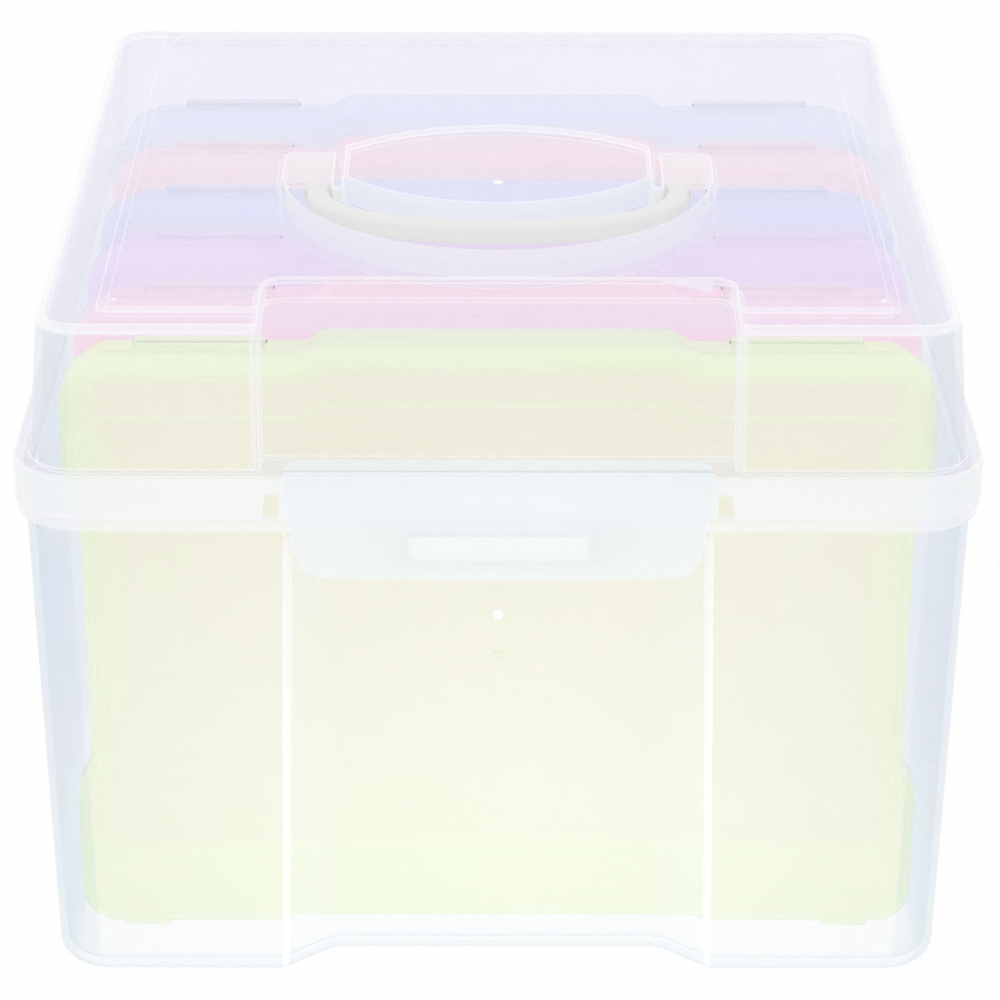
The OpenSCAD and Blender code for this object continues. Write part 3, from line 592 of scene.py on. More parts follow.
class Recipe:
    """A material's node tree, with short calls to add and join nodes."""

    def __init__(self, name):
        self.material = bpy.data.materials.new(name)
        self.material.use_nodes = True
        self.tree = self.material.node_tree
        self.shader = node_of(self.tree, "BSDF_PRINCIPLED")

    def node(self, kind, **values):
        """Adds a node and sets its inputs by name and its other values as attributes."""
        added = self.tree.nodes.new(kind)
        for key, value in values.items():
            if hasattr(added, key):
                setattr(added, key, value)
            else:
                added.inputs[key.replace("_", " ")].default_value = value
        return added

    def join(self, source, target):
        """Joins an output to an input."""
        self.tree.links.new(source, target)

    def spread(self, value, old, new):
        """A value moved from one range to another."""
        spread = self.node("ShaderNodeMapRange")
        self.join(value, spread.inputs["Value"])
        for key, bound in zip(("From Min", "From Max", "To Min", "To Max"), (*old, *new)):
            spread.inputs[key].default_value = bound
        return spread.outputs["Result"]

    def grain(self, scale):
        """A noise on object coordinates."""
        place = self.node("ShaderNodeTexCoord")
        noise = self.node("ShaderNodeTexNoise", Scale=scale, Detail=1.0)
        self.join(place.outputs["Object"], noise.inputs["Vector"])
        return noise.outputs["Fac"]

    def cloud(self, grain, base, target, paler=0.25, most=0.4):
        """A colour with the faint, paler clouds of moulded plastic."""
        mix = self.node("ShaderNodeMix", data_type="RGBA")
        colours = [socket for socket in mix.inputs if socket.type == "RGBA"]
        colours[0].default_value = (*base, 1)
        colours[1].default_value = (*[value + (1 - value) * paler for value in base], 1)
        self.join(self.spread(grain, GRAIN_RANGE, (0.0, most)), mix.inputs["Factor"])
        self.join(next(socket for socket in mix.outputs if socket.type == "RGBA"), target)

    def let_light_through(self, opacity):
        """An opacity that is low for light on its way to other surfaces."""
        path = self.node("ShaderNodeLightPath")
        most = self.node("ShaderNodeMath", operation="MAXIMUM")
        self.join(path.outputs["Is Shadow Ray"], most.inputs[0])
        self.join(path.outputs["Is Diffuse Ray"], most.inputs[1])
        kept = self.spread(most.outputs[0], (0, 1), (1, 1 - bpy.context.scene.keeper_finish.light_through))
        product = self.node("ShaderNodeMath", operation="MULTIPLY")
        self.join(opacity, product.inputs[0])
        self.join(kept, product.inputs[1])
        return product.outputs[0]

    def bump(self, scale, depth):
        """A shallow moulded unevenness."""
        bump = self.node("ShaderNodeBump", Strength=1.0, Distance=depth)
        self.join(self.grain(scale), bump.inputs["Height"])
        self.join(bump.outputs["Normal"], self.shader.inputs["Normal"])


def moulded(name, base, face, rim, rough, ripple=0.0, shades=True, blend=0.42):
    """A moulded plastic that hides more of what is behind it where it is seen along its surface."""
    recipe = Recipe(name)
    shader = recipe.shader
    shader.inputs["IOR"].default_value = PLASTIC_IOR
    grain = recipe.grain(CLOUD_SCALE)
    recipe.cloud(grain, base, shader.inputs["Base Color"])
    sheen = recipe.spread(grain, GRAIN_RANGE, (rough - 0.05, rough + 0.06))
    recipe.join(sheen, shader.inputs["Roughness"])
    if ripple:
        recipe.bump(RIPPLE_SCALE, ripple)
    if rim < 1 or face < 1:
        slant = recipe.node("ShaderNodeLayerWeight", Blend=blend)
        opacity = recipe.spread(slant.outputs["Facing"], (0.05, 0.9), (face, rim))
        recipe.join(recipe.let_light_through(opacity) if shades else opacity, shader.inputs["Alpha"])
    recipe.material.surface_render_method = "BLENDED"
    return recipe.material


def clear_materials(name):
    """The finishes of a clear piece, in the order of its material slots."""
    f = bpy.context.scene.keeper_finish
    highlight_rim, frost_rim = [min(1.0, face + 0.2) for face in (f.edge_highlight_face, f.frost_face)]
    return [
        moulded(f"{name} wall", f.clear, f.clear_face, f.clear_rim, rough=0.16),
        # rounded edges: near-white painted highlight, partly the plastic seen edge-on
        moulded(f"{name} edge", f.edge, f.edge_highlight_face, highlight_rim, rough=0.2),
        moulded(f"{name} frost", f.frost, f.frost_face, frost_rim, rough=0.38, ripple=0.03 * MM),
        # paler copy of the clear plastic: painted light
        moulded(f"{name} haze", f.lit_haze, f.clear_face, f.clear_rim, rough=0.16),
        # darker blue-grey corners: painted shade, partly the plastic's own tint seen along it
        moulded(f"{name} corner", f.corner, f.clear_face, f.corner_shade_rim, rough=0.14, blend=0.25),
    ]


def wear(piece, materials):
    """Puts materials into a piece's slots."""
    for material in materials:
        piece.data.materials.append(material)
    return piece


def paint(piece, material, test):
    """Gives a material slot to the faces whose centre and normal pass the test."""
    for face in piece.data.polygons:
        if test(face.center, face.normal):
            face.material_index = material
    return piece


def mouth_w(s, z):
    """Half width of the front recess's mouth at height z."""
    tub = s.tub
    return tub.recess_foot_w + (tub.recess_top_w - tub.recess_foot_w) * z / s.recess_top


def bin_outline(s, z, g, open_front):
    """The bin's outline at height z, moved inwards by g, with the front recess where it is open."""
    tub = s.tub
    w = s.bin_w / 2 + tub.draft * z - g
    deep = s.bin_d / 2 + tub.draft * z
    mouth = mouth_w(s, z)
    lean = atan2(mouth - tub.recess_back_w, deep - s.recess_back)
    shift = g * (1 / cos(lean) - tan(lean))
    back = s.recess_back - g if open_front else deep - g
    return rounded(mirrored([
        (tub.recess_back_w + shift, -back, tub.recess_back_r + g, 6),
        (mouth + shift, g - deep, tub.recess_mouth_r - g, 6),
        (w, g - deep, tub.corner_r - g, 10),
        (w, deep - g, tub.corner_r - g, 10)]))


def foot_rings(s, z0, radius, g):
    """Rings of the rounded foot edge, from the flat underside up to the wall."""
    return [lifted(bin_outline(s, z0 + rise, g + inset, True), z0 + rise)
            for rise, inset in quarter(radius, 8)]


class KEEPER_OT_bin(Operator):
    """Build the clear bin with its front recess, flange lip and hinge ears."""
    bl_idname = "keeper.bin"
    bl_label = "Bin"

    def execute(self, context):
        s = sizes()
        tub, lid = s.tub, s.lid
        ledge = tub.wall / 2

        def ring(z, g, open_front):
            return lifted(bin_outline(s, z, g, open_front), z)

        outside = foot_rings(s, 0, tub.edge_r, 0) + [
            ring(s.recess_top, 0, True),
            ring(s.recess_top + ledge, 0, False),
            ring(s.lip_low, 0, False),
            ring(s.lip_low + tub.lip_t / 4, -tub.lip_out, False),
            ring(s.lip_top, -tub.lip_out, False),
            ring(s.lip_top, 0, False),
            ring(tub.height, 0, False)]
        inside = [
            ring(tub.height, tub.wall, False),
            ring(s.recess_top + tub.wall + ledge, tub.wall, False),
            ring(s.recess_top + tub.wall, tub.wall, True)]
        inside += reversed(foot_rings(s, tub.floor_t, tub.edge_r - tub.wall, tub.wall))
        piece = wear(solid("clear_bin", outside + inside), clear_materials("bin"))

        seat_y = s.catch_tip + lid.rest_gap
        seat_w = s.latch.catch_half_w + SEAT_ROOM
        seat = block("seat", (-seat_w, seat_y - FAR, s.lip_low - SLIP),
                     (seat_w, seat_y, s.lip_top + SLIP))
        carve(piece, "DIFFERENCE", seat)
        beside = lid.knuckle_len / 2 + lid.end_gap + lid.ear_t / 2
        carve(piece, "UNION", *[self.ear(s, side * lid.hinge_x + end * beside)
                                for side in (-1, 1) for end in (-1, 1)])
        # The bin takes the paler haze all over, the darker painted shade at its upright corners and foot, and
        # the near-white painted highlight on its lip and recess mouth.
        paint(piece, LIT_HAZE, lambda c, n: True)
        paint(piece, CORNER_SHADE, lambda c, n: self.takes_corner_shade(s, c, n))
        paint(piece, EDGE_HIGHLIGHT, lambda c, n: self.takes_edge_highlight(s, c))
        soften(piece, s.finish.fillet)
        finish_piece(piece, "bin", "clear_bin", "base_bin")
        return {"FINISHED"}

    def takes_corner_shade(self, s, c, n):
        """Whether a face belongs to an upright corner or to the rounded foot, which take the darker painted
        corner shade.
        """
        reach = s.bin_w / 2 - s.tub.corner_r
        return (abs(c.x) > reach and 0.15 < abs(n.x) and abs(n.z) < 0.2) or (
            c.z < s.tub.edge_r and 0.1 < abs(n.z) < 0.97)

    def takes_edge_highlight(self, s, c):
        """Whether a place lies on the flange lip or on the rounded mouth of the front recess, which take the
        near-white painted edge highlight.
        """
        tub = s.tub
        deep = s.bin_d / 2 + tub.draft * c.z
        near_mouth = abs(abs(c.x) - mouth_w(s, c.z)) < tub.wall and c.y < 1.3 * tub.wall - deep
        return (near_mouth and c.z < s.recess_top) or s.lip_low - HAIR < c.z < s.lip_top + HAIR

    def ear(self, s, mid):
        """One hinge ear on the flange lip, with its bore."""
        tub, lid = s.tub, s.lid
        wall_y = s.bin_d / 2 + tub.draft * s.lip_low
        centre = (s.hinge_y, s.hinge_z)
        profile = arc(centre, lid.ear_r, radians(-60), radians(140), 20)
        profile += [(wall_y - tub.wall / 2, s.lip_top), (wall_y - tub.wall / 2, s.lip_low),
                    (wall_y + tub.lip_out, s.lip_low)]
        ear = prism("ear", sideways, profile, mid - lid.ear_t / 2, mid + lid.ear_t / 2)
        bore = rod("bore", centre, lid.pin_r + lid.pin_gap, mid - lid.ear_t, mid + lid.ear_t)
        return carve(ear, "DIFFERENCE", bore)


def box_outline(w, d, radius, steps=12):
    """A rectangle of half sizes w and d with round corners."""
    return rounded([(w, -d, radius, steps), (w, d, radius, steps),
                    (-w, d, radius, steps), (-w, -d, radius, steps)])


def plateau_solid(s, g, z0, z1):
    """The raised panel of the lid, grown by g, between two heights."""
    w = s.lid_top_w - s.lid.plateau_side + g
    d = s.lid_top_d - s.lid.plateau_end + g
    return prism("plateau", lifted, box_outline(w, d, s.lid.plateau_r, 4), z0, z1)


def lid_ring(s, part, g, z):
    """The outline of the lid's skirt, foot or head, moved inwards by g, at the height z."""
    w, d, radius = {"skirt": (s.skirt_out_w, s.skirt_out_d, s.lid.skirt_r),
                    "foot": (s.lid_foot_w, s.lid_foot_d, s.lid.skirt_r - s.lid.shelf_w),
                    "head": (s.lid_top_w, s.lid_top_d, s.lid.top_r)}[part]
    return lifted(box_outline(w - g, d - g, radius - g), z)


def lid_outside(s):
    """The outside of the lid as one solid, without its raised panel."""
    rings = [lid_ring(s, "skirt", 0, s.skirt_low)]
    rings += [lid_ring(s, "skirt", inset, s.shelf_z - drop) for inset, drop in quarter(s.lid.shelf_t / 2, 4)]
    rings.append(lid_ring(s, "foot", 0, s.shelf_z))
    rings += [lid_ring(s, "head", inset, s.lid_z - drop) for inset, drop in quarter(s.lid.edge_r, 7)]
    return solid("clear_lid", rings)


def lid_inside(s):
    """The space inside the lid, before the recess and the pocket take their share of it."""
    lid, wall = s.lid, s.tub.wall
    under = s.lid_z - lid.top_t
    radius = lid.edge_r - wall + 2 * HAIR
    rings = [lid_ring(s, "skirt", wall, s.skirt_low - OVER), lid_ring(s, "skirt", wall, s.shelf_under),
             lid_ring(s, "foot", wall, s.shelf_under)]
    rings += [lid_ring(s, "head", wall + inset, under - drop) for inset, drop in quarter(radius, 3)]
    space = solid("space", rings)
    panel = plateau_solid(s, -wall, under - OVER / 2, s.plateau_z - lid.top_t)
    return carve(space, "UNION", panel)


def lid_recess(s, g, z0):
    """The notch and recess in the lid's front, grown by g, with its floor at height z0."""
    lid = s.lid
    front = -s.skirt_out_d - FAR
    top = s.plateau_z + FAR
    wall_y = s.recess_wall_y + g
    foot_y = wall_y - lid.slope * (s.notch_z - s.shelf_z)
    back_y = lid.notch_len - s.lid_top_d + g
    ledge_z = s.notch_z - g
    half_w = lid.notch_half_w + g
    side = [(front, z0), (foot_y, z0)]
    side += corner_arc((foot_y, z0), (wall_y, ledge_z), (back_y, ledge_z), lid.notch_edge_r - g, 10)
    side += [(back_y, ledge_z), (back_y, top), (front, top)]
    plan = rounded([(half_w, front, OVER, 1), (half_w, back_y, lid.notch_r + g, 6),
                    (-half_w, back_y, lid.notch_r + g, 6), (-half_w, front, OVER, 1)])
    recess = prism("recess", sideways, side, -half_w - OVER, half_w + OVER)
    return carve(recess, "INTERSECT", prism("plan", lifted, plan, z0 - OVER, top + OVER))


def pocket_outline(s, g):
    """The handle pocket's plan, grown by g: a crescent round the island and what is left of its bosses."""
    grip = s.grip
    w = grip.pocket_r + g
    back = grip.ear_back + g
    boss_out, boss_in = grip.boss_half_w - g, grip.boss_half_w - grip.boss_t + g
    boss_y = s.pivot_y - grip.boss_nose + g
    island_r = grip.island_r - g
    island_y = grip.island_r - grip.island_front
    tip = boss_out - grip.boss_lean
    nose = [(boss_out, s.pivot_y), (tip, boss_y), (boss_in, boss_y)] if tip > boss_in else []
    half = acos((boss_in if nose else boss_out) / island_r)
    corner = grip.ear_corner_r + g
    outline = arc((w - corner, back - corner), corner, pi / 2, 0, 5)
    outline += arc((0, -grip.pocket_back), w, 0, -pi, 48)
    outline += arc((corner - w, back - corner), corner, pi, pi / 2, 5)
    outline += [(-boss_out, back)] + [(-x, y) for x, y in nose]
    outline += arc((0, island_y), island_r, half - pi, -half, 30)
    return outline + nose[::-1] + [(boss_out, back)]


def dish_outline(s, g):
    """The dish on the island, grown by g: a lens between the island's front and a flatter arc behind."""
    grip = s.grip
    half_w = grip.boss_half_w - grip.boss_t + g
    front_y, back_y = grip.island_r - grip.island_front, grip.dish_back - grip.dish_r
    front_r, back_r = grip.island_r + g, grip.dish_r + g
    front, back = acos(half_w / front_r), acos(half_w / back_r)
    return (arc((0, front_y), front_r, front - pi, -front, 30)
            + arc((0, back_y), back_r, back, pi - back, 30))


def frosted(piece):
    """Marks the upright faces of a carving solid, so that what they cut is frosted."""
    return paint(piece, FROST, lambda c, n: abs(n.z) < 0.5)


def lid_hinge(s, side):
    """A lid knuckle with its two pins and the arm that joins it to the skirt."""
    lid = s.lid
    mid = side * lid.hinge_x
    knuckle = lid.knuckle_len / 2
    pin = knuckle + lid.end_gap + lid.ear_t
    root_y = s.skirt_out_d - s.tub.wall / 2
    centre = (s.hinge_y, s.hinge_z)
    arm = [(root_y, s.hinge_z + 2.4 * lid.knuckle_r), (root_y, s.hinge_z + lid.knuckle_r / 5)]
    profile = arm + arc(centre, lid.knuckle_r, radians(195), radians(450), 30)
    return carve(prism("knuckle", sideways, profile, mid - knuckle, mid + knuckle), "UNION",
                 rod("pins", centre, lid.pin_r, mid - pin, mid + pin))


class KEEPER_OT_lid(Operator):
    """Build the clear lid with its panel, front recess, handle pocket, slots and knuckles."""
    bl_idname = "keeper.lid"
    bl_label = "Lid"

    def execute(self, context):
        s = sizes()
        lid, grip, wall = s.lid, s.grip, s.tub.wall
        low_z = s.pocket_floor - lid.top_t
        dish_z = s.plateau_z - grip.dish_d

        space = lid_inside(s)
        carve(space, "DIFFERENCE", lid_recess(s, wall, s.shelf_under))
        carve(space, "DIFFERENCE",
              prism("pocket_walls", lifted, pocket_outline(s, wall), low_z, s.plateau_z),
              prism("dish_floor", lifted, dish_outline(s, wall), dish_z - lid.top_t, s.plateau_z))

        piece = wear(lid_outside(s), clear_materials("lid"))
        carve(piece, "UNION", plateau_solid(s, 0, s.lid_z - OVER / 2, s.plateau_z))
        carve(piece, "DIFFERENCE", space)
        carve(piece, "DIFFERENCE", lid_recess(s, 0, s.shelf_z))
        carve(piece, "DIFFERENCE",
              frosted(prism("pocket", lifted, pocket_outline(s, 0), s.pocket_floor, s.plateau_z + FAR)),
              frosted(prism("dish", lifted, dish_outline(s, 0), dish_z, s.plateau_z + FAR)))
        for operation, part in (("DIFFERENCE", self.bore), ("DIFFERENCE", self.slot), ("UNION", lid_hinge)):
            carve(piece, operation, *[part(s, side) for side in (-1, 1)])
        # The front and side walls take the paler haze, painted light; the upright corners the darker painted
        # shade; rounded edges, steps and recess sides the near-white painted highlight, wider round the
        # pocket, dish and notch.
        paint(piece, LIT_HAZE, lambda c, n: self.takes_lit_haze(s, c, n))
        paint(piece, CORNER_SHADE, lambda c, n: self.takes_corner_shade(s, c, n))
        paint(piece, FROST, lambda c, n: c.z < s.shelf_z - 2 * HAIR and abs(n.z) < 0.5)
        paint(piece, EDGE_HIGHLIGHT, lambda c, n: self.takes_edge_highlight(s, c, n))
        soften(piece, s.finish.fillet, wide=s.finish.wide_fillet, is_wide=lambda c: self.has_wide_highlight(s, c))
        finish_piece(piece, "lid", "clear_lid", "lid")
        return {"FINISHED"}

    def takes_edge_highlight(self, s, c, n):
        """Whether a face belongs to a rounded edge, a step or the sides of the front recess, which take the
        near-white painted edge highlight, partly the plastic seen edge-on.
        """
        lid = s.lid
        rounded_top = s.lid_z - lid.edge_r < c.z < s.lid_z and 0.2 < n.z < 0.98
        panel_step = s.lid_z < c.z < s.plateau_z and abs(n.z) < 0.5 and not self.in_pocket(s, c)
        side = abs(n.x) > 0.9 and abs(abs(c.x) - lid.notch_half_w) < 1.1 * s.tub.wall and c.z > s.shelf_z
        shelf_edge = s.shelf_z - lid.shelf_t < c.z < s.shelf_z and 0.1 < n.z < 0.98
        return rounded_top or panel_step or side or shelf_edge

    def takes_lit_haze(self, s, c, n):
        """Whether a face belongs to an upright wall at the front or at a side, which takes the paler haze:
        painted light.
        """
        back_strip = 15 * MM
        before_back = c.y < s.lid_top_d - back_strip
        return abs(n.z) < 0.3 and c.z > s.shelf_z and before_back and not self.in_pocket(s, c)

    def takes_corner_shade(self, s, c, n):
        """Whether a face belongs to one of the four upright corners, which take the darker painted corner
        shade.
        """
        reach = s.lid.top_r + s.lid.lean
        at_corner = abs(c.x) > s.lid_foot_w - reach and abs(c.y) > s.lid_foot_d - reach
        return 0.15 < abs(n.x) < 0.97 and c.z > s.shelf_z and at_corner

    def has_wide_highlight(self, s, c):
        """Whether an edge is one of the wide ones round the pocket, the dish or the notch, whose wider bevel
        carries a wider painted highlight.
        """
        low = s.plateau_z - s.grip.dish_d - HAIR
        floor_strip = 1 * MM
        above_notch = c.y < s.lid.notch_len - s.lid_top_d + HAIR and c.z > s.notch_z + floor_strip
        on_notch = above_notch and abs(c.x) < s.lid.notch_half_w + HAIR
        return on_notch or (self.in_pocket(s, c) and c.z > low)

    def in_pocket(self, s, c):
        """Whether a place lies in the handle's pocket."""
        return hypot(c.x, c.y + s.grip.pocket_back) < s.grip.pocket_r + s.tub.wall

    def bore(self, s, side):
        """The bore of a pivot boss."""
        grip = s.grip
        mid = side * (grip.boss_half_w - grip.boss_t / 2)
        return rod("bore", (s.pivot_y, s.pivot_z), grip.pin_r + s.lid.pin_gap,
                   mid - grip.boss_t, mid + grip.boss_t)

    def slot(self, s, side):
        """The slot through the skirt on one side of the latch."""
        lid = s.lid
        inner, outer = side * (lid.notch_half_w - lid.slot_w), side * lid.notch_half_w
        top = s.shelf_z - lid.slot_head
        plan = [(inner, s.skirt_low - OVER), (outer, s.skirt_low - OVER),
                (outer - side * lid.slot_lean, top), (inner, top)]
        front = -s.skirt_out_d - s.tub.wall
        return prism("slot", standing, plan, front, front + 3 * s.tub.wall)


class KEEPER_OT_latch(Operator):
    """Build the frosted latch: the plate on the shelf and the flap with its catch bar."""
    bl_idname = "keeper.latch"
    bl_label = "Latch"

    def execute(self, context):
        s = sizes()
        latch, f = s.latch, s.finish
        frost = moulded("latch frost", f.latch, f.latch_face, 0.85, rough=0.36, ripple=0.04 * MM)
        # The edge finish is the near-white painted highlight of the latch's rounded edges.
        edge = moulded("latch edge", f.edge, 0.75, 0.95, rough=0.25)
        centre = (s.latch_axis_y, s.latch_axis_z)
        finish_piece(self.plate(s, centre, [frost, edge]), "lid", "frosted_latch", "latch_plate")
        finish_piece(self.flap(s, centre, [frost, edge]), "latch", "frosted_latch", "front_latch")
        return {"FINISHED"}

    def plate(self, s, centre, materials):
        """The plate on the shelf, with the groove that the flap's bead turns in."""
        latch = s.latch
        back = s.flap_back + latch.plate_d
        corner_r = latch.plate_d - 1 * MM
        plan = rounded([(latch.half_w, s.latch_axis_y, 0, 0), (latch.half_w, back, corner_r, 8),
                        (-latch.half_w, back, corner_r, 8), (-latch.half_w, s.latch_axis_y, 0, 0)])
        plate = wear(prism("latch_web", lifted, plan, s.shelf_z, s.shelf_z + latch.thick), materials)
        soften(plate, s.finish.fillet * 0.6)
        far = latch.half_w + OVER
        front = -s.skirt_out_d
        return carve(plate, "DIFFERENCE",
                     rod("groove", centre, latch.thick / 2 + s.lid.pin_gap, -far, far),
                     block("below", (-far, front - FAR, s.latch_axis_z - FAR), (far, front, s.latch_axis_z)))

    def flap(self, s, centre, materials):
        """The flap with its bowed lower edge, its bead and its catch bar."""
        latch = s.latch
        cheek_r, root = 2 * MM, 0.6 * MM
        low_edge = []
        for k in range(-3, 4):
            x = latch.low_w * k / 4
            sag = latch.bow * (1 - (x / latch.low_w) ** 2)
            low_edge.append((x, s.latch_low_z - sag, latch.corner_r, 2))
        side = [(latch.low_w, s.latch_low_z, latch.corner_r, 10),
                (latch.half_w, s.shelf_z - latch.cheek, cheek_r, 3), (latch.half_w, s.latch_axis_z, 0, 0)]
        plan = rounded(low_edge + mirrored(side))
        flap = wear(prism("latch_flap", standing, plan, s.flap_back - latch.thick, s.flap_back), materials)
        bead = rod("bead", centre, latch.thick / 2, -latch.half_w, latch.half_w)
        top = s.lip_low - s.lid.rest_gap
        catch = block("catch", (-latch.catch_half_w, s.flap_back - root, top - latch.catch_h),
                      (latch.catch_half_w, s.catch_tip, top))
        for part in (flap, bead, catch):
            soften(part, s.finish.fillet * 0.8)
        carve(flap, "UNION", bead, catch)
        # The catch bar behind the flap takes that painted highlight, which also stands for its greater
        # thickness.
        return paint(flap, EDGE_HIGHLIGHT, lambda c, n: c.y > s.flap_back + 2 * HAIR and c.z < s.lip_low)


class KEEPER_OT_handle(Operator):
    """Build the pale grey bow handle with its round ends and pins."""
    bl_idname = "keeper.handle"
    bl_label = "Handle"

    def execute(self, context):
        s = sizes()
        grip, f = s.grip, s.finish
        piece = self.bow(s, moulded("handle", f.handle, 1, 1, rough=0.42, ripple=0.03 * MM))
        centre = (s.pivot_y, s.pivot_z)
        for side in (-1, 1):
            end_x = side * s.grip_mid_x
            pin_x = side * (grip.boss_half_w - grip.boss_t / 2 + s.lid.end_gap)
            half_end, half_pin = grip.end_w / 2, grip.boss_t / 2
            carve(piece, "UNION",
                  rod("end", centre, grip.end_r, end_x - half_end, end_x + half_end, sides=40),
                  rod("pin", centre, grip.pin_r, pin_x - half_pin, pin_x + half_pin))
        soften(piece, f.fillet, angle=45)
        finish_piece(piece, "handle", "grey_handle", "carry_handle")
        return {"FINISHED"}

    def bow(self, s, material):
        """The bow, swept along a superellipse from end to end and slimmer towards its ends."""
        grip = s.grip
        grow = Grower("Bow", Steps=96, Half_span=s.grip_mid_x, Reach=grip.grip_reach, Pivot=s.pivot_y,
                      Level=s.grip_z, Power=2 / grip.bow_power, Width=grip.grip_w, Thickness=grip.grip_t,
                      End_width=grip.end_w, Sides=24, Corner_power=0.6, Material=material)
        given, calc, node = grow.given, grow.calc, grow.node
        index = node("GeometryNodeInputIndex")
        angle = calc("DIVIDE", calc("MULTIPLY", index, pi), given["Steps"])
        x, y = grow.rounded_square(angle, calc("MULTIPLY", given["Half span"], -1.0),
                                   calc("MULTIPLY", given["Reach"], -1.0), given["Power"])
        place = grow.spot(x, calc("ADD", y, given["Pivot"]), given["Level"])
        line = node("GeometryNodeMeshLine", {"Count": calc("ADD", given["Steps"], 1.0)})
        path = node("GeometryNodeMeshToCurve", {
            "Mesh": node("GeometryNodeSetPosition", {"Geometry": line, "Position": place})})
        level = node("GeometryNodeSetCurveNormal", {"Curve": path}, mode="Z_UP")

        turn = calc("DIVIDE", calc("MULTIPLY", index, 2 * pi), given["Sides"])
        half_w = calc("MULTIPLY", given["Width"], 0.5)
        half_h = calc("MULTIPLY", given["Thickness"], 0.5)
        x, y = grow.rounded_square(turn, half_w, half_h, given["Corner power"])
        ring = node("GeometryNodeMeshCircle", {"Vertices": given["Sides"]})
        section = node("GeometryNodeMeshToCurve", {
            "Mesh": node("GeometryNodeSetPosition", {"Geometry": ring, "Position": grow.spot(x, y)})})

        least = calc("DIVIDE", given["End width"], given["Width"])
        taper = calc("ADD", least, calc("MULTIPLY", calc("SUBTRACT", 1.0, least), calc("SINE", angle)))
        swept = node("GeometryNodeCurveToMesh", {
            "Curve": level, "Profile Curve": section, "Scale": taper, "Fill Caps": True})
        return outward(grow.grow(placed("bow_handle", bpy.data.meshes.new("bow_handle")), swept))


def case_outline(s, side, low, top, g):
    """A photo case's outline in X and Z, moved inwards by side, low and top, and all round by g."""
    c = s.case
    w = c.width / 2 - side - g
    foot = s.case_z + low + g
    shoulder = s.case_z + c.height - top - g
    waist = s.case_z + c.waist_low
    slide = g * 0.3
    arch_r, rise_r = 2 * MM, 3 * MM
    return rounded(mirrored([
        (c.rise_half_w + 1.5 * c.rise_slope + slide, foot + c.rise / 2, arch_r, 3),
        (c.rise_half_w + 2 * c.rise_slope + slide, foot, arch_r, 3),
        (w, foot, c.corner_r - g, 10),
        (w, waist, c.waist_r, 4),
        (w - c.waist_in, waist + c.waist_slant, c.waist_r, 4),
        (w - c.waist_in, waist + c.waist_slant + c.waist_h, c.waist_r, 4),
        (w, waist + 2 * c.waist_slant + c.waist_h, c.waist_r, 4),
        (w, shoulder, c.corner_r - g, 10),
        (c.rise_half_w + c.rise_slope - slide, shoulder, rise_r, 4),
        (c.rise_half_w - slide, shoulder + c.rise, rise_r, 4)]))


def case_foot(s, x, y0, y1, z1):
    """One foot of a photo case, from the depth y0 to y1, reaching up to z1."""
    c = s.case
    low = s.case_z - c.foot_h
    half = c.foot_len / 2
    spread = half + c.foot_h / 2
    plan = [(x - half, low), (x + half, low), (x + spread, s.case_z), (x + spread, z1),
            (x - spread, z1), (x - spread, s.case_z)]
    return prism("foot", standing, plan, y0, y1)


def cover_solid(s, front):
    """The front shell of a photo case: rounded edge, raised panel, snap tongues and feet."""
    c = s.case
    rim = front + c.cover_t
    border = front + c.panel_step
    inner = border + c.wall
    inner_r = c.edge_r / 2

    def ring(g, y):
        return standing(case_outline(s, 0, 0, 0, g), y)

    def panel(g, y):
        return standing(case_outline(s, c.edge_r + c.border, c.panel_low, c.panel_high, g), y)

    rings = [ring(c.wall + inner_r, inner), ring(c.wall, inner + inner_r), ring(c.wall, rim), ring(0, rim)]
    rings += [ring(inset, border + depth) for inset, depth in quarter(c.edge_r, 6)]
    rings += [panel(0, border), panel(c.panel_step / 2, front)]
    piece = solid("cover", rings)
    tongue_z = s.case_z + c.height - c.wall
    hook_z = s.case_z + c.height - c.tray_top_in + s.lid.rest_gap
    root = 0.3 * MM
    parts = []
    for side in (-1, 1):
        x0, x1 = side * c.tongue_x - c.tongue_w / 2, side * c.tongue_x + c.tongue_w / 2
        end = rim + c.tongue_len
        parts += [
            case_foot(s, side * c.foot_x, front + 2 * c.edge_r, rim - c.wall, s.case_z + c.wall / 2),
            block("tongue", (x0, rim - OVER, tongue_z), (x1, end, tongue_z + c.wall - SLIP)),
            block("hook", (x0 + SLIP, end - c.wall, hook_z), (x1 - SLIP, end - SLIP, tongue_z + root))]
    return carve(piece, "UNION", *parts)


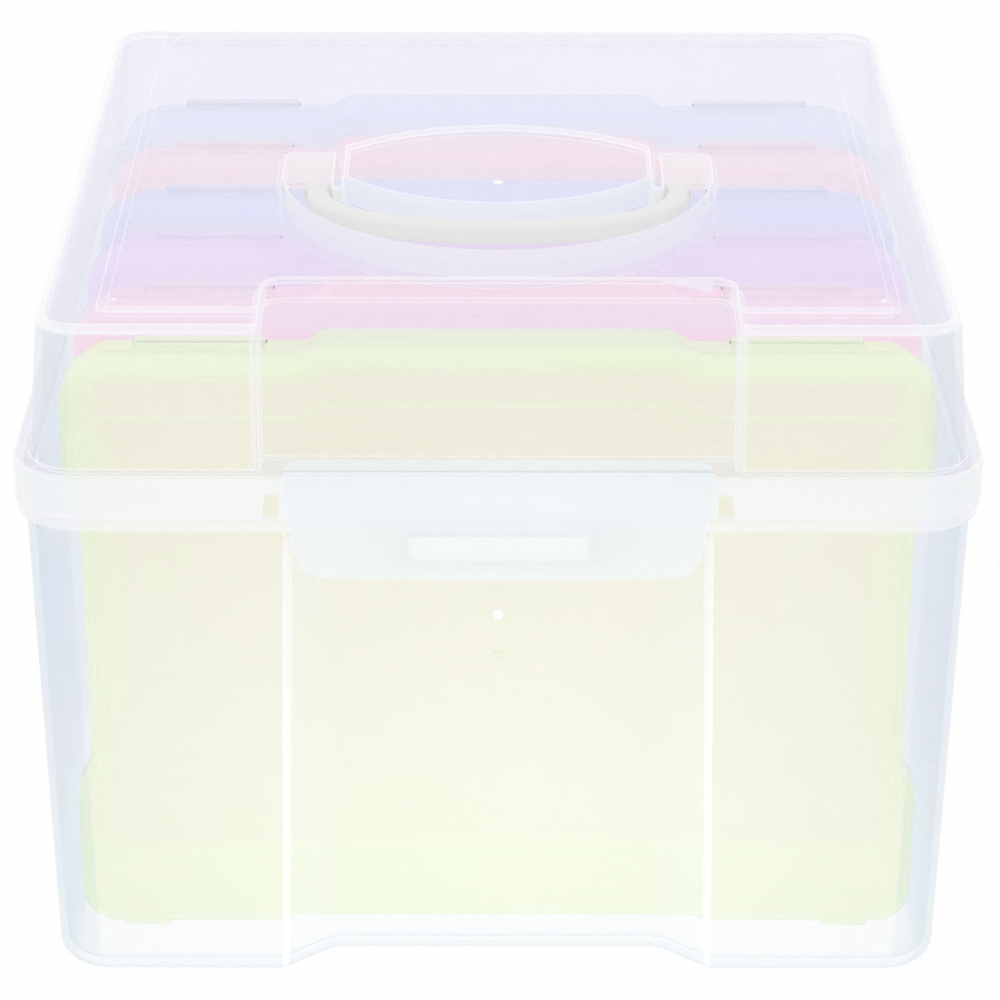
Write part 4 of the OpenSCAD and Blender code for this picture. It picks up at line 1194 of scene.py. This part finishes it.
def tray_solid(s, front):
    """The rear shell of a photo case: rounded edge, snap beads, finger tabs and feet."""
    c = s.case
    rear = front + c.thick
    rim = front + c.cover_t
    tray_t = c.thick - c.cover_t + c.nest
    inner_r = c.edge_r / 2
    top = s.case_z + c.height - c.tray_top_in

    def ring(g, y):
        return standing(case_outline(s, c.tray_in, c.tray_low_in, c.tray_top_in, g), rear - y)

    rings = [ring(inset, depth) for inset, depth in reversed(quarter(c.edge_r, 6))]
    rings += [ring(0, tray_t), ring(c.wall, tray_t), ring(c.wall, c.wall + inner_r),
              ring(c.wall + inner_r, c.wall)]
    piece = solid("tray", rings)
    bead_r = c.wall - 0.2 * MM
    snap_gap, tab_gap, tab_drop = 0.6 * MM, 0.5 * MM, 2 * MM
    bead_y = rim + c.tongue_len - c.wall - bead_r - snap_gap
    tab_y, tab_z = rim + tab_gap, top - c.wall / 2
    half_w, half_tab = c.tongue_w / 2, c.tab_w / 2
    parts = []
    for side in (-1, 1):
        x0, x1 = side * c.tongue_x - half_w + OVER, side * c.tongue_x + half_w - OVER
        tab_x = side * c.tab_x
        parts += [
            case_foot(s, side * c.foot_x, rim + 2 * c.wall, rear - 2 * c.edge_r,
                      s.case_z + c.tray_low_in + c.wall / 2),
            rod("bead", (bead_y, top), bead_r, x0, x1, sides=16),
            block("tab", (tab_x - half_tab, tab_y, tab_z),
                  (tab_x + half_tab, tab_y + 2 * c.wall, tab_z + c.tray_top_in - tab_drop))]
    return carve(piece, "UNION", *parts)


class KEEPER_OT_cases(Operator):
    """Build the six tinted photo cases, each with its cover and its tray."""
    bl_idname = "keeper.cases"
    bl_label = "Photo cases"

    def execute(self, context):
        s = sizes()
        f = s.finish
        first = {"cover": soften(cover_solid(s, s.stack_front), f.fillet, material=EDGE_HIGHLIGHT),
                 "tray": soften(tray_solid(s, s.stack_front), f.fillet, material=EDGE_HIGHLIGHT)}
        for i in range(TINTS):
            tint = getattr(f, f"tint_{i + 1}")
            # The paler copy of the tint goes on a case's sides, tops and edges: painted highlight.
            pale = [value + (1 - value) * f.pale for value in tint]
            # A case's faces lean to a warm tone that stands in for light passing through the other tinted
            # cases: painted light.
            stack_lit = [value + (shade - value) * f.stack_light_lean for value, shade in zip(tint, f.stack_light)]
            plastic = [moulded(f"tint {i + 1}", stack_lit, f.tint_face, f.tint_rim, rough=0.24, shades=False),
                       moulded(f"tint {i + 1} edge", pale, f.tint_highlight_face, f.tint_rim, rough=0.2, shades=False)]
            for shell, source in first.items():
                mesh = source.data.copy()
                for vertex in mesh.vertices:
                    vertex.co.y += i * s.pitch
                piece = wear(placed(f"tinted_case_{i + 1}_{shell}", mesh), plastic)
                # Sides, tops and rounded edges take the paler painted highlight.
                paint(piece, EDGE_HIGHLIGHT, lambda c, n: abs(n.y) < 0.95)
                piece.visible_shadow = False
                piece.visible_diffuse = False
                finish_piece(piece, f"case_{i + 1}", f"tint_{i + 1}", f"case_{i + 1}_{shell}")
        for source in first.values():
            bpy.data.meshes.remove(source.data)
        return {"FINISHED"}


def marks(name, places, tilt, material, body, slot):
    """Small round witness marks of the moulding, each given as a place and a radius."""
    mesh = bpy.data.meshes.new(name)
    mesh.from_pydata([place for place, radius in places], [], [])
    radii = mesh.attributes.new("size", "FLOAT", "POINT")
    for k, (place, radius) in enumerate(places):
        radii.data[k].value = radius
    piece = placed(name, mesh)
    grow = Grower(name, Height=bpy.context.scene.keeper_finish.mark_h, Tilt=tilt, Material=material)
    size = grow.node("GeometryNodeInputNamedAttribute", {"Name": "size"})
    lens = grow.node("GeometryNodeMeshUVSphere", {"Segments": 20, "Rings": 8, "Radius": 1.0})
    row = grow.node("GeometryNodeInstanceOnPoints", {
        "Points": grow.given["Geometry"], "Instance": lens, "Rotation": grow.spot(grow.given["Tilt"]),
        "Scale": grow.spot(size, size, grow.given["Height"])})
    grow.grow(piece, row)
    piece.data.shade_smooth()
    return finish_piece(piece, body, slot)


class KEEPER_OT_marks(Operator):
    """Build the gate marks and ejector dots that the moulding leaves."""
    bl_idname = "keeper.marks"
    bl_label = "Moulding marks"

    def execute(self, context):
        s = sizes()
        f, upright = s.finish, pi / 2
        # The marks are real small bumps in the near-white edge colour, so they show as small painted
        # highlights.
        white = moulded("gate mark", f.edge, 0.7, 0.95, rough=0.25)
        side_in, end_in, mark_up = 3.5 * MM, 4 * MM, 0.7
        dot_x = s.lid_top_w - s.lid.plateau_side - side_in
        dot_y = s.lid_top_d - s.lid.plateau_end - end_in
        dots = [((side * dot_x, end * dot_y, s.plateau_z), f.dot_r) for side in (-1, 1) for end in (-1, 1)]
        dish = ((0, -s.grip.island_front / 2, s.plateau_z - s.grip.dish_d), f.mark_r)
        front = ((0, -s.recess_back, mark_up * s.tub.height), f.mark_r)
        marks("lid_marks", dots + [dish], 0.0, white, "lid", "clear_lid")
        marks("bin_mark", [front], upright, white, "bin", "clear_bin")
        for i in range(TINTS):
            front = s.stack_front + i * s.pitch
            middle = s.case_z + (s.case.height + s.case.rise) / 2
            # The case marks wear the paler tint of the case's edges, its painted highlight.
            marks(f"case_{i + 1}_marks", [((0, y, middle), f.mark_r) for y in (front, front + s.case.thick)],
                  upright, bpy.data.materials[f"tint {i + 1} edge"], f"case_{i + 1}", f"tint_{i + 1}")
        return {"FINISHED"}


class KeeperStage(PropertyGroup):
    """The camera, the floor and the lamps."""
    camera: FloatVectorProperty(name="Camera", description="Place of the camera", subtype="TRANSLATION",
                                unit="LENGTH", default=(-0.00345, -0.8113, 0.4515))
    pitch: bearing("Pitch", "How far the camera looks down", 25.11)
    yaw: bearing("Yaw", "How far the camera looks to the right", 0.304)
    roll: bearing("Roll", "Roll of the camera", -0.226)
    lens: strength("Lens", "Focal length in millimetres for a 36 mm frame", 131.5)
    sky: strength("Sky", "Strength of the even white light", 0.90)
    key: strength("Key", "Power of the soft key lamp, in watts", 1.2)
    fill: strength("Fill", "Power of the fill lamp, in watts", 0.42)
    glow: strength("Glow", "Power of the low front lamp, in watts", 0.028)
    top: strength("Top", "Power of the lamp above, in watts", 1.1)
    bounces: IntProperty(name="See-through surfaces", default=64,
                         description="How many clear surfaces a ray passes")


LAMPS = {  # place, target and size of each lamp, in metres
    "key": ((-0.9, -0.9, 1.3), (0, 0, 0.08), 0.9),
    "fill": ((1.1, -0.5, 0.8), (0, 0, 0.08), 0.9),
    "top": ((0, 0.3, 1.4), (0, 0, 0.1), 0.8),
    "glow": ((0, -0.2, 0.012), (0, -0.1, 0.05), 0.13),
}
GLOW_HEIGHT = 0.04
FLOOR_COLOUR = (0.93, 0.93, 0.94, 1)
FLOOR_WHITE = 0.92


def lamp(name, place, target, size, power):
    """A soft square lamp aimed at a point."""
    data = bpy.data.lights.new(name, "AREA")
    data.size = size
    data.energy = power
    holder = placed(name, data)
    holder.location = place
    holder.rotation_euler = (Vector(target) - Vector(place)).to_track_quat("-Z", "Y").to_euler()
    return holder


class KEEPER_OT_stage(Operator):
    """Set the camera, the white surroundings, the soft lamps and the pale floor."""
    bl_idname = "keeper.stage"
    bl_label = "Stage"

    def execute(self, context):
        scene = context.scene
        stage = scene.keeper_stage
        scene.view_settings.view_transform = "Standard"
        scene.cycles.transparent_max_bounces = stage.bounces

        data = bpy.data.cameras.new("camera")
        data.sensor_width = 36
        data.sensor_fit = "HORIZONTAL"
        data.lens = stage.lens
        data.clip_start = 0.01
        camera = placed("camera", data)
        camera.location = stage.camera
        turn = Euler((pi / 2 - stage.pitch, 0, -stage.yaw)).to_matrix()
        camera.rotation_euler = (turn @ Euler((0, 0, -stage.roll)).to_matrix()).to_euler()
        scene.camera = camera

        self.world(scene, stage.sky)
        lamps = {name: lamp(name, *where, getattr(stage, name)) for name, where in LAMPS.items()}
        glow = lamps["glow"]
        glow.data.shape = "RECTANGLE"
        glow.data.size_y = GLOW_HEIGHT
        glow.visible_camera = False
        glow.visible_glossy = False
        self.floor()
        return {"FINISHED"}

    def world(self, scene, sky):
        """White where it is seen, and a softer white where it lights."""
        world = bpy.data.worlds.new("white room")
        world.use_nodes = True
        scene.world = world
        tree = world.node_tree
        background = node_of(tree, "BACKGROUND")
        background.inputs["Color"].default_value = (1, 1, 1, 1)
        tree.links.new(self.seen(tree, sky, 1.0), background.inputs["Strength"])

    def seen(self, tree, other, shown):
        """A value that is shown on camera, glossy and transmission rays, and other on the rest."""
        path = tree.nodes.new("ShaderNodeLightPath")
        total = None
        for key in ("Is Camera Ray", "Is Glossy Ray", "Is Transmission Ray"):
            if total is None:
                total = path.outputs[key]
                continue
            most = tree.nodes.new("ShaderNodeMath")
            most.operation = "MAXIMUM"
            tree.links.new(total, most.inputs[0])
            tree.links.new(path.outputs[key], most.inputs[1])
            total = most.outputs[0]
        spread = tree.nodes.new("ShaderNodeMapRange")
        spread.inputs["To Min"].default_value = other
        spread.inputs["To Max"].default_value = shown
        tree.links.new(total, spread.inputs["Value"])
        return spread.outputs["Result"]

    def floor(self):
        """A pale floor that keeps a faint shadow of the case."""
        half, top, thick = 3.0, -0.0002, 0.01
        floor = block("floor", (-half, -half, top - thick), (half, half, top))
        recipe = Recipe("pale floor")
        tree, matte = recipe.tree, recipe.shader
        matte.inputs["Base Color"].default_value = FLOOR_COLOUR
        matte.inputs["Roughness"].default_value = 0.9
        matte.inputs["Specular IOR Level"].default_value = 0.0
        glow = tree.nodes.new("ShaderNodeEmission")
        mix = tree.nodes.new("ShaderNodeMixShader")
        tree.links.new(self.seen(tree, 0.0, FLOOR_WHITE), mix.inputs["Fac"])
        tree.links.new(matte.outputs["BSDF"], mix.inputs[1])
        tree.links.new(glow.outputs["Emission"], mix.inputs[2])
        tree.links.new(mix.outputs["Shader"], node_of(tree, "OUTPUT_MATERIAL").inputs["Surface"])
        wear(floor, [recipe.material])


class KEEPER_PT_panel(Panel):
    """Lists the steps that dress the case."""
    bl_idname = "KEEPER_PT_panel"
    bl_label = "Photo keeper case"
    bl_space_type = "VIEW_3D"
    bl_region_type = "UI"
    bl_category = "Keeper"

    def draw(self, context):
        for operator in OPERATORS:
            self.layout.operator(operator.bl_idname)
        for group in GROUPS:
            box = self.layout.box()
            values = getattr(context.scene, group)
            for key in values.bl_rna.properties.keys():
                if key not in ("rna_type", "name"):
                    box.prop(values, key)


GROUPS = {
    "keeper_case": KeeperCaseSizes,
    "keeper_bin": KeeperBinSizes,
    "keeper_lid": KeeperLidSizes,
    "keeper_handle": KeeperHandleSizes,
    "keeper_latch": KeeperLatchSizes,
    "keeper_finish": KeeperFinish,
    "keeper_stage": KeeperStage,
}
OPERATORS = (KEEPER_OT_stage, KEEPER_OT_bin, KEEPER_OT_lid, KEEPER_OT_latch, KEEPER_OT_handle,
             KEEPER_OT_cases, KEEPER_OT_marks)


def register():
    """Registers the sizes, the operators and the panel."""
    for name, group in GROUPS.items():
        bpy.utils.register_class(group)
        setattr(bpy.types.Scene, name, PointerProperty(type=group))
    for operator in OPERATORS:
        bpy.utils.register_class(operator)
    bpy.utils.register_class(KEEPER_PT_panel)


def unregister():
    """Takes back what register did."""
    bpy.utils.unregister_class(KEEPER_PT_panel)
    for operator in reversed(OPERATORS):
        bpy.utils.unregister_class(operator)
    for name, group in GROUPS.items():
        delattr(bpy.types.Scene, name)
        bpy.utils.unregister_class(group)


def main():
    """Dresses the case."""
    register()
    for operator in OPERATORS:
        group, name = operator.bl_idname.split(".")
        getattr(getattr(bpy.ops, group), name)()


if __name__ == "__main__":
    main()
